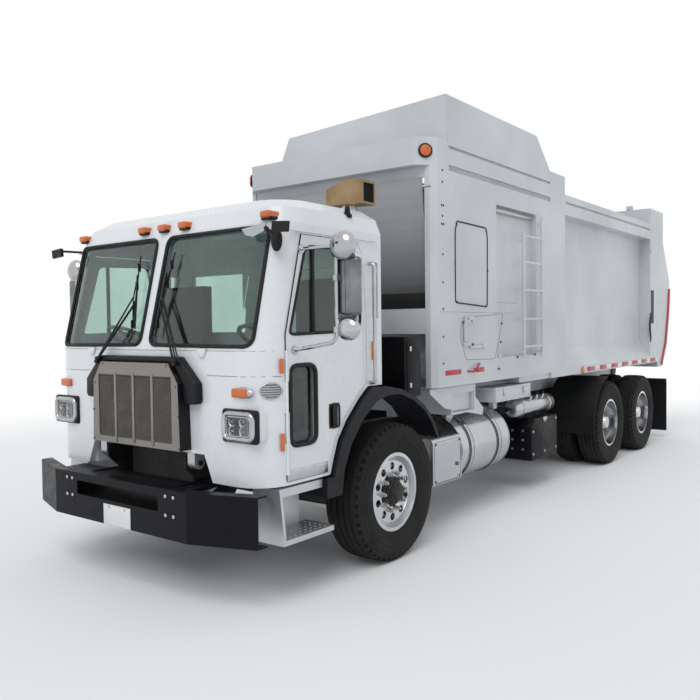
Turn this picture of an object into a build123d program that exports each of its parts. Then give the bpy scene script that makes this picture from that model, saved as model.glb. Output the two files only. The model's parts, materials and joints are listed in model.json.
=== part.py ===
from build123d import *
import os
from math import atan2, cos, degrees, hypot, radians, sin, sqrt

# Automated side-loading garbage truck, millimetres. Stations y run back from the
# bumper's front face; save() moves them so that the origin is the bottom centre.
OVERALL_LENGTH = 9660
FIT = 0.3
GAP = 5

# Wheels and axles
TYRE_R = 525
FRONT_AXLE_Y = 1643
REAR_AXLE_YS = (6532, 7875)
FRONT_TYRE_W = 315
REAR_TYRE_W = 275
FRONT_WHEEL_X = 1080
DUAL_OUTER_X = 1083
DUAL_INNER_X = 740
RIM_FLANGE_R = 298.5
RIM_SEAT_R = 284.5
RIM_BORE_R = 272
KINGPIN_X = 850
SPINDLE_R = 40

# Frame
RAIL_X = 432
RAIL_FLANGE = 85
RAIL_T = 9
RAIL_BOTTOM = 660
RAIL_TOP = 930
RAIL_FRONT_Y = 330
RAIL_REAR_Y = OVERALL_LENGTH - 560
TILT_Y = 300
TILT_Z = 880
TILT_PIN_R = 18

# Bumper
BUMPER_HALF = 1202.5
BUMPER_FLAT_HALF = 738
BUMPER_SWEEP = 159
BUMPER_BOTTOM = 431
BUMPER_TOP = 756
BUMPER_T = 12
BUMPER_DEPTH = 90
SLOT_HALF = 460
SLOT_BOTTOM = 600
SLOT_TOP = 700

# Cab
CAB_HALF = 1165
CAB_FRONT = 262
CAB_REAR = 1540
CAB_BOTTOM = 770
CAB_WALL = 50
CAB_CORNER_R = 240
CAB_FLOOR = 1050
SHIELD_FOOT = 1640
SHIELD_HEAD = 2470
SHIELD_HEAD_Y = 465
TUNNEL_HALF = 410
TUNNEL_TOP = 1450
TUNNEL_WALL = 40
FLARE_LEG_TOP = 757
ARCH_LINE = [(915, 769), (945, 860), (1000, 1000), (1100, 1130), (1250, 1270), (1360, 1350)]
DOOR_HINGE_Y = 475
HINGE_R = 9
CAB_BARRELS = [(840, 1040), (1240, 1440)]
DOOR_BARRELS = [(1040 + FIT, 1240 - FIT), (1440 + FIT, 1640)]
DOOR_OUTLINE = [
    (475, 790), (890, 790), (918, 868), (975, 1012), (1078, 1147), (1232, 1290), (1352, 1385),
    (1352, 1900), (1300, 2320), (1240, 2400), (640, 2400), (475, 1740),
]
WINDOW_OUTLINE = [
    (517, 1760), (560, 1745), (1200, 1762), (1262, 1800), (1276, 1860), (1205, 2310),
    (1160, 2338), (720, 2320), (672, 2290),
]
LOW_WINDOW = (516, 770, 1018, 1539)
QUARTER_WINDOW = (1425, 1500, 1850, 2260)

# Body
BODY_HALF = 1100
BODY_FRONT = 2330
HOPPER_REAR = 5300
BODY_REAR = OVERALL_LENGTH - 660
BODY_FLOOR = 1310
RAIL_Z = 1190
ROOF_Z = 3270
WALL_X = 950
PLATE_T = 25
TIP_Y = BODY_REAR - 50
TIP_Z = 1050
TIP_PIN_R = 30
PACK_Y = 4100
PACK_Z = 3050
PACK_R = 1690
TROUGH_R = 1710
TAIL_HINGE_Y = BODY_REAR - 80
TAIL_HINGE_Z = 3560
TAIL_PIN_R = 20
SIDE_GROOVES = [(3325, 3352), (3135, 3185)]
LADDER_BAY = (3570, 4500, 1470, 2950)
BAY_X = 1035

STRAP_YS = (3010, 3560)

# Side arm
SLIDE_Y0 = 2800
SLIDE_Y1 = 3160
SLIDE_Z0 = 1010
SLIDE_Z1 = 1165
MAST_X0 = -1270
MAST_X1 = -1125
ARM_X = -1205
ARM_Z = 1800
ARM_LENGTH = 1050
FINGER_Y = (2890, 3450)
FINGER_Z = 750

# Hoist
HOIST_FOOT = (6050, 800)
HOIST_EYE = (7350, 1080)
HOIST_X = 250
HOIST_R = 70
HOIST_ROD_R = 35


def poly(points):
    """Plane face through 3-D points."""
    return Face(Wire.make_polygon([Vector(*p) for p in points], close=True))


def side_plate(outline, x0, x1):
    """Extrude a (y, z) outline from x0 to x1."""
    return extrude(poly([(x0, y, z) for y, z in outline]), amount=x1 - x0, dir=(1, 0, 0))


def front_plate(outline, y0, y1):
    """Extrude an (x, z) outline from y0 back to y1."""
    return extrude(poly([(x, y0, z) for x, z in outline]), amount=y1 - y0, dir=(0, 1, 0))


def plan_plate(outline, z0, z1):
    """Extrude an (x, y) outline from z0 up to z1."""
    return extrude(poly([(x, y, z0) for x, y in outline]), amount=z1 - z0, dir=(0, 0, 1))


def block(x0, x1, y0, y1, z0, z1):
    """Box between six planes."""
    centre = Pos((x0 + x1) / 2, (y0 + y1) / 2, (z0 + z1) / 2)
    return centre * Box(abs(x1 - x0), abs(y1 - y0), abs(z1 - z0))


def bar(start, end, radius):
    """Round bar between two points."""
    a, b = Vector(*start), Vector(*end)
    rod = Cylinder(radius, (b - a).length, align=(Align.CENTER, Align.CENTER, Align.MIN))
    return Plane(origin=a, z_dir=b - a) * rod


def pipe(points, bend, radius):
    """Round bar along straight runs joined by arcs."""
    path = FilletPolyline(*points, radius=bend)
    start = Plane(origin=path @ 0, z_dir=path % 0)
    return sweep(start * Circle(radius), path=path)


def revolve_x(profile, y, z):
    """Turn an (x, r) profile about the X line through y, z."""
    face = poly([(x, y, z + r) for x, r in profile])
    return revolve(face, Axis((0, y, z), (1, 0, 0)), 360)


def inset(outline, amount):
    """Move each edge of a counter-clockwise outline inwards."""
    area = sum(a[0] * b[1] - b[0] * a[1] for a, b in zip(outline, outline[1:] + outline[:1]))
    side = 1 if area > 0 else -1
    lines = []
    for a, b in zip(outline, outline[1:] + outline[:1]):
        length = hypot(b[0] - a[0], b[1] - a[1])
        ux, uy = (b[0] - a[0]) / length, (b[1] - a[1]) / length
        lines.append((a[0] - uy * amount * side, a[1] + ux * amount * side, ux, uy))
    moved = []
    for (ax, ay, aux, auy), (bx, by, bux, buy) in zip(lines[-1:] + lines[:-1], lines):
        cross = aux * buy - auy * bux
        t = ((bx - ax) * buy - (by - ay) * bux) / cross
        moved.append((ax + aux * t, ay + auy * t))
    return moved


def pair(shape):
    """The piece and its mirror image."""
    return [shape, mirror(shape, about=Plane.YZ)]


def save(name, *shapes):
    """Write one node, moved to the row frame."""
    shift = Location((0, -OVERALL_LENGTH / 2, 0))
    solids = [solid.moved(shift) for shape in shapes for solid in shape.solids()]
    node = solids[0] if len(solids) == 1 else Compound(children=solids)
    export_step(node, f"parts/{name}.step")


def make_tyre(x, y, width, rim_w):
    """Closed tyre ring seated between the rim's flanges."""
    half, bead = width / 2, rim_w / 2
    right = [
        (bead - 12 - FIT, RIM_SEAT_R + FIT), (bead - 8, RIM_FLANGE_R + 1), (bead + 4, RIM_FLANGE_R + 3),
        (half, 390), (half, 440), (half * 0.93, 497), (half * 0.8, 520), (0, TYRE_R),
    ]
    left = [(-px, r) for px, r in reversed(right[:-1])]
    return revolve_x([(x + px, r) for px, r in right + left], y, TYRE_R)


def make_barrel(x, y, rim_w):
    """Wheel rim with two flanges."""
    h = rim_w / 2
    profile = [
        (-h, RIM_FLANGE_R), (8 - h, RIM_FLANGE_R), (12 - h, RIM_SEAT_R), (h - 12, RIM_SEAT_R),
        (h - 8, RIM_FLANGE_R), (h, RIM_FLANGE_R), (h, RIM_BORE_R), (-h, RIM_BORE_R),
    ]
    return revolve_x([(x + px, r) for px, r in profile], y, TYRE_R)


def make_disc(profile, y, hole_x0, hole_x1, hole_r, pitch_r):
    """Wheel disc with ten round hand holes."""
    holes = []
    for i in range(10):
        a = radians(36 * i + 18)
        cy, cz = y + pitch_r * cos(a), TYRE_R + pitch_r * sin(a)
        holes.append(bar((hole_x0, cy, cz), (hole_x1, cy, cz), hole_r))
    return revolve_x(profile, y, TYRE_R) - holes


def make_front_wheel():
    """Left front tyre and rim with its hub and drum."""
    x, y = FRONT_WHEEL_X, FRONT_AXLE_Y
    rim_w = 257
    face = x + rim_w / 2
    rim = make_barrel(x, y, rim_w)
    bore = SPINDLE_R + FIT
    profile = [
        (face + 10, 0), (face + 10, 52), (face - 12, 72), (face - 40, 72), (face - 40, 120), (face - 28, 150),
        (face - 30, 235), (face - 55, RIM_BORE_R + 1), (face - 77, RIM_BORE_R + 1), (face - 54, 230),
        (face - 54, 150), (face - 62, 120), (face - 62, 110), (x + 38, 110), (x + 38, 205), (x - 95, 205),
        (x - 95, 190), (x + 24, 190), (x + 24, 80), (x - 20, 80), (x - 20, bore), (x + 22, bore), (x + 22, 0),
    ]
    rim += make_disc(profile, y, face - 89, face, 29, 195)
    return make_tyre(x, y, FRONT_TYRE_W, rim_w), rim


def make_rear_wheels(y):
    """Left pair of twin tyres and rims with their shared hub."""
    rim_w = 236
    outer_face = DUAL_OUTER_X + rim_w / 2
    mid = (DUAL_OUTER_X + DUAL_INNER_X) / 2
    rims = make_barrel(DUAL_OUTER_X, y, rim_w) + make_barrel(DUAL_INNER_X, y, rim_w)
    bore = SPINDLE_R + 10 + FIT
    profile = [
        (outer_face - 40, 0), (outer_face - 40, 70), (outer_face - 90, 95), (mid + 20, 105), (mid + 20, 170),
        (mid + 50, 225), (mid + 85, RIM_BORE_R + 1), (mid + 60, RIM_BORE_R + 1), (mid + 30, 235), (mid, 180),
        (mid - 30, 235), (mid - 60, RIM_BORE_R + 1), (mid - 85, RIM_BORE_R + 1), (mid - 50, 225), (mid - 20, 170),
        (mid - 20, 120), (mid - 60, 120), (mid - 60, 205), (DUAL_INNER_X - 110, 205), (DUAL_INNER_X - 110, 190),
        (mid - 75, 190), (mid - 75, 90), (DUAL_INNER_X - 60, 90), (DUAL_INNER_X - 60, bore), (mid + 82, bore),
        (mid + 82, 0),
    ]
    rims += make_disc(profile, y, mid - 59, outer_face, 28, 205)
    tyres = [make_tyre(x, y, REAR_TYRE_W, rim_w) for x in (DUAL_OUTER_X, DUAL_INNER_X)]
    return tyres, rims


def make_knuckle():
    """Left steering knuckle: fork, kingpin, spindle and steering arm."""
    x, y, z = KINGPIN_X, FRONT_AXLE_Y, TYRE_R
    knuckle = block(x - 38, x + 62, y - 45, y + 45, z + 70 + FIT, z + 105)
    knuckle += block(x - 38, x + 62, y - 45, y + 45, z - 105, z - 70 - FIT)
    knuckle += block(x + 47, x + 62, y - 60, y + 60, z - 105, z + 105)
    knuckle += bar((x, y, z - 104), (x, y, z + 104), 22)
    knuckle += bar((x + 60, y, z), (FRONT_WHEEL_X + 20, y, z), SPINDLE_R)
    knuckle += side_plate([(y + 40, z - 100), (y + 240, z - 100), (y + 240, z - 75), (y + 40, z - 75)], x - 38, x - 8)
    return knuckle


def make_front_axle():
    """Dropped I-beam axle with king-pin eyes and leaf springs."""
    x, y, z = KINGPIN_X, FRONT_AXLE_Y, TYRE_R
    right = [(x - 15, z + 50), (700, z + 40), (560, 445), (0, 445)]
    low = [(0, 345), (580, 345), (730, z - 55), (x - 15, z - 55)]
    outline = right + [(-px, pz) for px, pz in reversed(right[:-1])] + [(-px, pz) for px, pz in reversed(low)] + low[1:]
    beam = front_plate(outline, y - 45, y + 45)
    for end in pair(bar((x, y, z - 70), (x, y, z + 70), 40)):
        beam += end
    for hole in pair(bar((x, y, z - 120), (x, y, z + 120), 22 + FIT)):
        beam -= hole
    leaf = [
        (960, 625), (960, RAIL_BOTTOM), (1020, RAIL_BOTTOM), (1350, 500), (1560, 470), (1730, 470), (1940, 500),
        (2270, RAIL_BOTTOM), (2330, RAIL_BOTTOM), (2330, 625), (1960, 475), (1740, 445), (1550, 445), (1330, 475),
    ]
    spring = side_plate(leaf, 352, 427)
    return [beam] + pair(spring)


def make_rear_axles():
    """Two drive axles with bowls, spindles, walking beams and shafts."""
    pieces = []
    for y in REAR_AXLE_YS:
        axle = bar((-640, y, TYRE_R), (640, y, TYRE_R), 62)
        axle += Pos(0, y, TYRE_R) * Sphere(205)
        axle += bar((0, y - 330, TYRE_R + 20), (0, y, TYRE_R + 20), 110)
        mid = (DUAL_OUTER_X + DUAL_INNER_X) / 2
        axle += bar((-mid - 80, y, TYRE_R), (mid + 80, y, TYRE_R), SPINDLE_R + 10)
        pieces.append(axle)
    front, rear = REAR_AXLE_YS
    shafts = bar((0, front, TYRE_R + 40), (0, rear, TYRE_R + 25), 45)
    shafts += bar((0, 2690, 700), (0, front, TYRE_R + 25), 50)
    shafts += bar((0, 2645, 700), (0, 2700, 700), 65)
    train = pieces[0] + shafts + pieces[1]
    centre = (front + rear) / 2
    beam = side_plate([
        (front - 90, 470), (front + 90, 455), (centre - 80, 420), (centre + 80, 420), (rear - 90, 455), (rear + 90, 470),
        (rear + 90, 462), (rear + 60, 400), (centre, 330), (front - 60, 400), (front - 90, 462),
    ], 450, 530)
    for beam_piece in pair(beam):
        train += beam_piece
    return train, centre


def make_frame():
    """Channel rails with cross-members, brackets and hinge posts."""
    rail = block(RAIL_X - RAIL_T, RAIL_X, RAIL_FRONT_Y, RAIL_REAR_Y, RAIL_BOTTOM, RAIL_TOP)
    for z0 in (RAIL_BOTTOM, RAIL_TOP - RAIL_T):
        rail += block(RAIL_X - RAIL_FLANGE, RAIL_X, RAIL_FRONT_Y, RAIL_REAR_Y, z0, z0 + RAIL_T)
    frame = rail + mirror(rail, about=Plane.YZ)
    inner = RAIL_X - RAIL_T
    for y0, y1, z0, z1 in (
        (395, 485, 660, 700), (2200, 2260, 800, 900), (4000, 4060, 720, 900), (5950, 6150, 669, 720),
        (7150, 7260, 690, 860), (8400, 8460, 690, 900), (RAIL_REAR_Y - 60, RAIL_REAR_Y, 669, 921),
    ):
        frame += block(-inner, inner, y0, y1, z0, z1)
    return frame


def cab_section(z, front, half, corner, rear):
    """Plan outline of the cab at one height, with round front corners."""
    k = corner * (1 - sqrt(0.5))
    edges = [
        Line((-half, rear, z), (-half, front + corner, z)),
        ThreePointArc((-half, front + corner, z), (k - half, front + k, z), (corner - half, front, z)),
        Line((corner - half, front, z), (half - corner, front, z)),
        ThreePointArc((half - corner, front, z), (half - k, front + k, z), (half, front + corner, z)),
        Line((half, front + corner, z), (half, rear, z)),
        Line((half, rear, z), (-half, rear, z)),
    ]
    return Face(Wire(edges))


def cab_form(depth, z_low, roof_drop):
    """Cab volume at a depth inside the outer skin."""
    rows = [
        (z_low, CAB_FRONT, CAB_HALF, CAB_CORNER_R, CAB_REAR),
        (SHIELD_FOOT, CAB_FRONT, CAB_HALF, CAB_CORNER_R, CAB_REAR),
        (SHIELD_HEAD, SHIELD_HEAD_Y, CAB_HALF, CAB_CORNER_R, CAB_REAR),
        (SHIELD_HEAD + 110, SHIELD_HEAD_Y + 50, CAB_HALF - 35, CAB_CORNER_R, CAB_REAR - 15),
        (SHIELD_HEAD + 180, SHIELD_HEAD_Y + 150, CAB_HALF - 140, CAB_CORNER_R, CAB_REAR - 60),
        (SHIELD_HEAD + 220, SHIELD_HEAD_Y + 360, CAB_HALF - 360, CAB_CORNER_R, CAB_REAR - 200),
    ]
    wires = [
        cab_section(z if z <= SHIELD_HEAD else z - roof_drop, front + depth, half - depth, corner - depth, rear - depth)
        for z, front, half, corner, rear in rows
    ]
    form = loft(wires[:2], ruled=True)
    for low, high in zip(wires[1:-1], wires[2:]):
        form += loft([low, high], ruled=True)
    return form


def shield_outline(side):
    """Windscreen pane in front view, on one side."""
    return [(side * x, z) for x, z in [
        (45, 1705), (70, 1680), (1010, 1672), (1048, 1700), (1035, 2400), (1000, 2440), (90, 2440), (60, 2420),
    ]]


def make_cab(outer):
    """Hollow cab shell with step wells and openings, and the engine cover in it."""
    floor = [
        (312, CAB_FLOOR), (975, CAB_FLOOR), (1065, 1168), (1222, 1315), (1345, 1400), (1490, 1400),
        (1490, 2720), (312, 2720),
    ]
    room = cab_form(CAB_WALL, CAB_FLOOR - 10, 30) & side_plate(floor, -CAB_HALF, CAB_HALF)
    cab = outer - room
    half = TUNNEL_HALF + TUNNEL_WALL
    cover = side_plate(inset(floor, FIT), -half, half)
    cover &= block(-half, half, CAB_FRONT, CAB_REAR, CAB_BOTTOM, TUNNEL_TOP + TUNNEL_WALL)
    cover -= block(-TUNNEL_HALF, TUNNEL_HALF, CAB_FRONT, CAB_REAR, CAB_BOTTOM, TUNNEL_TOP)
    cab -= side_plate(ARCH_LINE + [(CAB_REAR + 1, 1350), (CAB_REAR + 1, 700), (915, 700)], -CAB_HALF - 1, CAB_HALF + 1)
    cab -= block(-TUNNEL_HALF, TUNNEL_HALF, CAB_FRONT + CAB_WALL, CAB_REAR + 1, 700, TUNNEL_TOP)
    cab -= block(-360, 360, CAB_FRONT - 1, CAB_FRONT + CAB_WALL + 1, 1010, 1440)
    cab -= block(-660, 660, CAB_FRONT + CAB_WALL, CAB_REAR + 1, 700, CAB_FLOOR - CAB_WALL)
    cab -= front_plate([(-700, 769), (-620, 950), (620, 950), (700, 769)], CAB_FRONT - 1, CAB_FRONT + CAB_WALL + 1)
    well = [(420, 800), (875, 800), (900, 880), (955, 1020), (955, 1060), (420, 1060)]
    for cut in pair(side_plate(well, 700, CAB_HALF - CAB_WALL)):
        cab -= cut
    for cut in pair(side_plate(DOOR_OUTLINE, CAB_HALF - CAB_WALL - 40, CAB_HALF + 1)):
        cab -= cut
    y0, y1, z0, z1 = QUARTER_WINDOW
    for cut in pair(block(CAB_HALF - CAB_WALL - 1, CAB_HALF + 1, y0, y1, z0, z1)):
        cab -= cut
    for side in (1, -1):
        cab -= front_plate(shield_outline(side), 150, 640)
        cab -= front_plate([(side * x, z) for x, z in [(250, 1750), (900, 1750), (900, 2250), (250, 2250)]], CAB_REAR - CAB_WALL - 1, CAB_REAR + 1)
    return cab, cover


def hinge_barrels(levels, leaf_x0, leaf_y0, leaf_y1):
    """Stretches of the left door's long hinge, each with its leaf."""
    x = CAB_HALF + HINGE_R
    stretches = []
    for z0, z1 in levels:
        stretch = bar((x, DOOR_HINGE_Y, z0), (x, DOOR_HINGE_Y, z1), HINGE_R)
        stretches.append(stretch + block(leaf_x0, CAB_HALF + 5, leaf_y0, leaf_y1, z0, z1))
    return stretches


def make_glass(outer):
    """Windscreen, quarter and rear panes."""
    skin = cab_form(14, SHIELD_FOOT - 60, 0) - cab_form(22, SHIELD_FOOT - 60, 0)
    panes = []
    for side in (1, -1):
        outline = inset(shield_outline(side), FIT)
        panes.append(skin & front_plate(outline, 150, 640))
        rear = inset([(side * x, z) for x, z in [(250, 1750), (900, 1750), (900, 2250), (250, 2250)]], FIT)
        panes.append(front_plate(rear, CAB_REAR - 26, CAB_REAR - 20))
    y0, y1, z0, z1 = QUARTER_WINDOW
    panes += pair(block(CAB_HALF - 26, CAB_HALF - 20, y0 + FIT, y1 - FIT, z0 + FIT, z1 - FIT))
    return panes


def make_door():
    """Left door with its window, low window, handle cup and steps back."""
    outline = inset(DOOR_OUTLINE, GAP)
    door = side_plate(outline, CAB_HALF - CAB_WALL, CAB_HALF)
    door -= side_plate(WINDOW_OUTLINE, CAB_HALF - CAB_WALL - 1, CAB_HALF + 1)
    y0, y1, z0, z1 = LOW_WINDOW
    door -= fillet(block(CAB_HALF - CAB_WALL - 1, CAB_HALF + 1, y0, y1, z0, z1).edges().filter_by(Axis.X), 60)
    door -= block(CAB_HALF - 25, CAB_HALF + 1, 908, 1026, 1087, 1259)
    handle = block(CAB_HALF - 12, CAB_HALF + 4, 950, 980, 1087, 1259)
    glass = side_plate(inset(WINDOW_OUTLINE, FIT), CAB_HALF - 30, CAB_HALF - 24)
    low = fillet(block(CAB_HALF - 30, CAB_HALF - 24, y0 + FIT, y1 - FIT, z0 + FIT, z1 - FIT).edges().filter_by(Axis.X), 60)
    door += handle
    for stretch in hinge_barrels(DOOR_BARRELS, CAB_HALF, DOOR_HINGE_Y + GAP, DOOR_HINGE_Y + 30):
        door += stretch
    return door, [glass, low]


def make_mirror():
    """Left mirror: loop arm, flat head, dome and low wide glass."""
    arm = pipe([(CAB_HALF, 640, 2300), (1440, 660, 2300), (1440, 660, 1690), (CAB_HALF, 560, 1640)], 60, 13)
    head = fillet(block(1405, 1600, 676, 740, 1860, 2230).edges().filter_by(Axis.Z), 25)
    dome = Pos(1470, 700, 2275) * Sphere(95)
    dome &= block(1300, 1600, 560, 700, 2240, 2420)
    low = fillet(block(1410, 1590, 676, 730, 1700, 1840).edges().filter_by(Axis.Z), 25)
    links = bar((1440, 660, 2100), (1440, 680, 2100), 10) + bar((1440, 660, 1770), (1440, 680, 1770), 10)
    arm -= block(CAB_HALF - 60, CAB_HALF, 500, 700, 1500, 2400)
    return arm + head + dome + low + links


def make_grille():
    """Grille frame with its bars, and the moulded hood round it."""
    outline = [(490, 970), (475, 1420), (380, 1555), (-380, 1555), (-475, 1420), (-490, 970)]
    frame = front_plate(outline, 165, CAB_FRONT)
    frame -= front_plate([(470, 990), (455, 1412), (370, 1535), (-370, 1535), (-455, 1412), (-470, 990)], 180, CAB_FRONT + 1)
    for x0 in (-410, -205, 5, 210):
        frame -= block(x0, x0 + 195, 160, 181, 1015, 1465)
        frame += block(x0, x0 + 195, 172, 175, 1015, 1465)
    hood = [
        (495, 1270), (480, 1425), (384, 1562), (-384, 1562), (-480, 1425), (-495, 1270),
        (-600, 1270), (-625, 1300), (-620, 1420), (-440, 1600), (440, 1600), (620, 1420), (625, 1300), (600, 1270),
    ]
    return frame, front_plate(hood, 195, CAB_FRONT)


def make_bumper():
    """Swept channel bumper with its long slot and plate holes."""
    half, flat, sweep, t = BUMPER_HALF, BUMPER_FLAT_HALF, BUMPER_SWEEP, BUMPER_T
    front = [(-half, sweep), (-flat, 0), (flat, 0), (half, sweep)]
    skin = plan_plate(front + [(half, sweep + t), (flat, t), (-flat, t), (-half, sweep + t)], BUMPER_BOTTOM, BUMPER_TOP)
    lip = front + [(half, sweep + BUMPER_DEPTH), (flat, BUMPER_DEPTH), (-flat, BUMPER_DEPTH), (-half, sweep + BUMPER_DEPTH)]
    skin += plan_plate(lip, BUMPER_TOP - t, BUMPER_TOP)
    skin += plan_plate(lip, BUMPER_BOTTOM, BUMPER_BOTTOM + t)
    skin -= block(-SLOT_HALF, SLOT_HALF, -1, t + 1, SLOT_BOTTOM, SLOT_TOP)
    for x in (-72, 106):
        skin -= bar((x, -1, 560), (x, t + 1, 560), 4)
    strut = [(465, 90), (485, 90), (485, 330), (447, 380), (447, 560), (432, 560), (432, 370), (465, 325)]
    struts = pair(plan_plate(strut, 665, BUMPER_TOP - t))
    base = pair(block(465, 600, t, 90, 640, 660))
    return [skin] + struts, base


def make_flare():
    """Left wheel-arch flare, faceted face and roof skin, and its lower leg."""
    outer = [
        (838, 620), (842, FLARE_LEG_TOP), (921, FLARE_LEG_TOP), (957, 856), (1010, 992), (1108, 1121), (1257, 1260), (1364, 1338),
        (1560, 1338), (1757, 1301), (1930, 1240), (2090, 1147), (2210, 1030), (2310, 870),
    ]
    inner = [
        (2285, 858), (2188, 1008), (2072, 1118), (1918, 1205), (1750, 1262), (1590, 1268), (1430, 1235),
        (1255, 1120), (1120, 965), (1030, 790), (1003, 620),
    ]
    face = side_plate(outer + inner, 1172, 1200)
    skin = side_plate(inset(outer + inner, 6), 880, 1172)
    hollow = inset(outer + inner, 26)
    front = [p for p in hollow if p[0] < 1500]
    skin -= side_plate(front, 850, 1172)
    face += skin
    face += block(RAIL_X, 880, 2235, 2275, 880, 915)
    face += block(RAIL_X, 890, 868, 908, 680, 720)
    leg = face & block(RAIL_X, 1201, 800, 1100, 600, FLARE_LEG_TOP)
    return face - block(RAIL_X, 1201, 800, 1100, 600, FLARE_LEG_TOP + FIT), leg


def make_steps():
    """Left cab step: riser, tread and gussets."""
    step = block(930, 945, 400, 830, 400, 755)
    step += block(945, 1200, 420, 905, 395, 430)
    step += front_plate([(945, 395), (1200, 395), (1200, 470), (1165, 755), (945, 755)], 400, 420)
    step += block(1150, 1165, 420, 830, 700, 755)
    step += block(945, 1150, 420, 830, 740, 755)
    step += block(RAIL_X, 930, 560, 640, 690, 740)
    return step


def make_hopper():
    """Hopper: header, posts, walls, pack trough, access doors and ladder bay."""
    y0 = BODY_FRONT
    header = plan_plate([(-950, y0), (950, y0), (BODY_HALF, y0 + 150), (BODY_HALF, y0 + 320), (-BODY_HALF, y0 + 320), (-BODY_HALF, y0 + 150)], 3150, 3390)
    header -= block(-1040, 1040, y0 + 60, y0 + 321, 3170, 3370)
    hopper = header + block(-1000, 1000, 2440, 2465, 3058, 3151)
    for post in pair(plan_plate([(1000, y0 + 100), (1050, y0 + 100), (BODY_HALF, y0 + 150), (BODY_HALF, y0 + 320), (1000, y0 + 320)], 1250, 3150)):
        hopper += post
    left = block(BODY_HALF - PLATE_T, BODY_HALF, y0 + 320, 4900, 1250, 3450)
    right = block(-BODY_HALF, PLATE_T - BODY_HALF, y0 + 320, 4900, 1250, 2300) + block(-BODY_HALF, PLATE_T - BODY_HALF, 4200, 4900, 2300, 3450)
    hopper += left + right
    for post in pair(block(1000, BODY_HALF, 4900, HOPPER_REAR, RAIL_Z, 3470)):
        hopper += post
    hopper += block(-1000, 1000, 4950, 5010, 2700, 3470)
    ring = front_ring(TROUGH_R, TROUGH_R + 20, 222, 270)
    hopper += ring
    floor_z = PACK_Z - TROUGH_R
    hopper += block(PLATE_T - BODY_HALF, BODY_HALF - PLATE_T, PACK_Y, HOPPER_REAR, floor_z - 20, floor_z)
    hopper += block(-1000, 1000, 2440, 2500, 1717, 1936)
    hopper += block(-1000, 1000, 2500, 2640, 1717, 1729) + block(-1000, 1000, 2628, 2640, 1500, 1729)
    hopper += block(PLATE_T - BODY_HALF, BODY_HALF - PLATE_T, 4120, HOPPER_REAR, 1190, floor_z - 20)
    for z0, z1 in SIDE_GROOVES:
        hopper -= block(BODY_HALF - 12, BODY_HALF + 1, BODY_FRONT + 340, 4880, z0, z1)
    by0, by1, bz0, bz1 = LADDER_BAY
    hopper -= block(BAY_X, BODY_HALF + 1, by0, by1, bz0, bz1)
    bay = block(BAY_X - 10, BODY_HALF - PLATE_T, by0 - 10, by1 + 10, bz0 - 10, bz1 + 10)
    hopper += bay - block(BAY_X, BODY_HALF, by0, by1, bz0, bz1)
    return hopper


def arc_band(y, z, r0, r1, a0, a1, steps):
    """Outline of a curved strip between two radii, from straight facets."""
    angles = [radians(a0 + (a1 - a0) * i / steps) for i in range(steps + 1)]
    outer = [(y + r1 * cos(a), z + r1 * sin(a)) for a in angles]
    return outer + [(y + r0 * cos(a), z + r0 * sin(a)) for a in reversed(angles)]


def front_ring(r0, r1, a0, a1):
    """Part of a cylinder about the pack pivot, across the hopper."""
    return side_plate(arc_band(PACK_Y, PACK_Z, r0, r1, a0, a1, 10), PLATE_T - BODY_HALF, BODY_HALF - PLATE_T)


def make_ladder():
    """Climbing ladder on the hopper's left wall."""
    x = BODY_HALF + 45
    ladder = bar((x, 4095, 1450), (x, 4095, 2730), 15) + bar((x, 4545, 1450), (x, 4545, 2930), 15)
    for z in (1560, 1844, 2140, 2424, 2690):
        ladder += bar((x, 4095, z), (x, 4545, z), 13)
    for y, z in ((4095, 1500), (4095, 2650), (4545, 1500), (4545, 2860)):
        ladder += bar((BODY_HALF, y, z), (x, y, z), 12)
    return ladder


def make_canopy():
    """Hood over the front and left of the hopper."""
    front = [(-855, 3390), (-715, 3690), (BODY_HALF, 3785), (BODY_HALF, 3390)]
    canopy = front_plate(front, 2625, 2645)
    side = [(2644, 3450), (2644, 3785), (4520, 3785), (4900, 3450)]
    canopy += side_plate(side, BODY_HALF - 20, BODY_HALF)
    return canopy


def make_store():
    """Storage body: walls, roof, floor, rub rails and rear frame."""
    y0, y1 = HOPPER_REAR, BODY_REAR
    outline = [(BODY_HALF, RAIL_Z), (BODY_HALF, 1280), (WALL_X, 1500), (WALL_X, 3040), (BODY_HALF, 3040), (BODY_HALF, ROOF_Z), (0, ROOF_Z + 30)]
    outer = outline + [(-x, z) for x, z in reversed(outline[:-1])]
    store = front_plate(outer, y0, y1)
    inner_w = WALL_X - PLATE_T
    inner = [(inner_w, 3235), (inner_w, 1490), (800, BODY_FLOOR + 30), (-800, BODY_FLOOR + 30), (-inner_w, 1490), (-inner_w, 3235)]
    store -= front_plate(inner, y0 - 1, y1 + 1)
    frame = block(-BODY_HALF, BODY_HALF, BODY_REAR - 380, y1, RAIL_Z, 3500) - front_plate(inner, BODY_REAR - 400, y1 + 1)
    for slot in pair(block(BODY_HALF - 20, BODY_HALF + 1, BODY_REAR - 360, BODY_REAR - 300, 1780, 2280)):
        frame -= slot
    store += frame
    for groove in pair(block(BODY_HALF - 12, BODY_HALF + 1, y0 + 20, BODY_REAR - 400, 3165, 3192)):
        store -= groove
    hy, hz = TAIL_HINGE_Y, TAIL_HINGE_Z
    lug = [(hy - 60, 3500), (hy - 35, hz + 45), (hy + 35, hz + 45), (hy + 60, 3500)]
    lugs = side_plate(lug, 665, 685) + side_plate(lug, 725, 745) + bar((670, hy, hz), (740, hy, hz), TAIL_PIN_R)
    for piece in pair(lugs):
        store += piece
    return store


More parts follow.
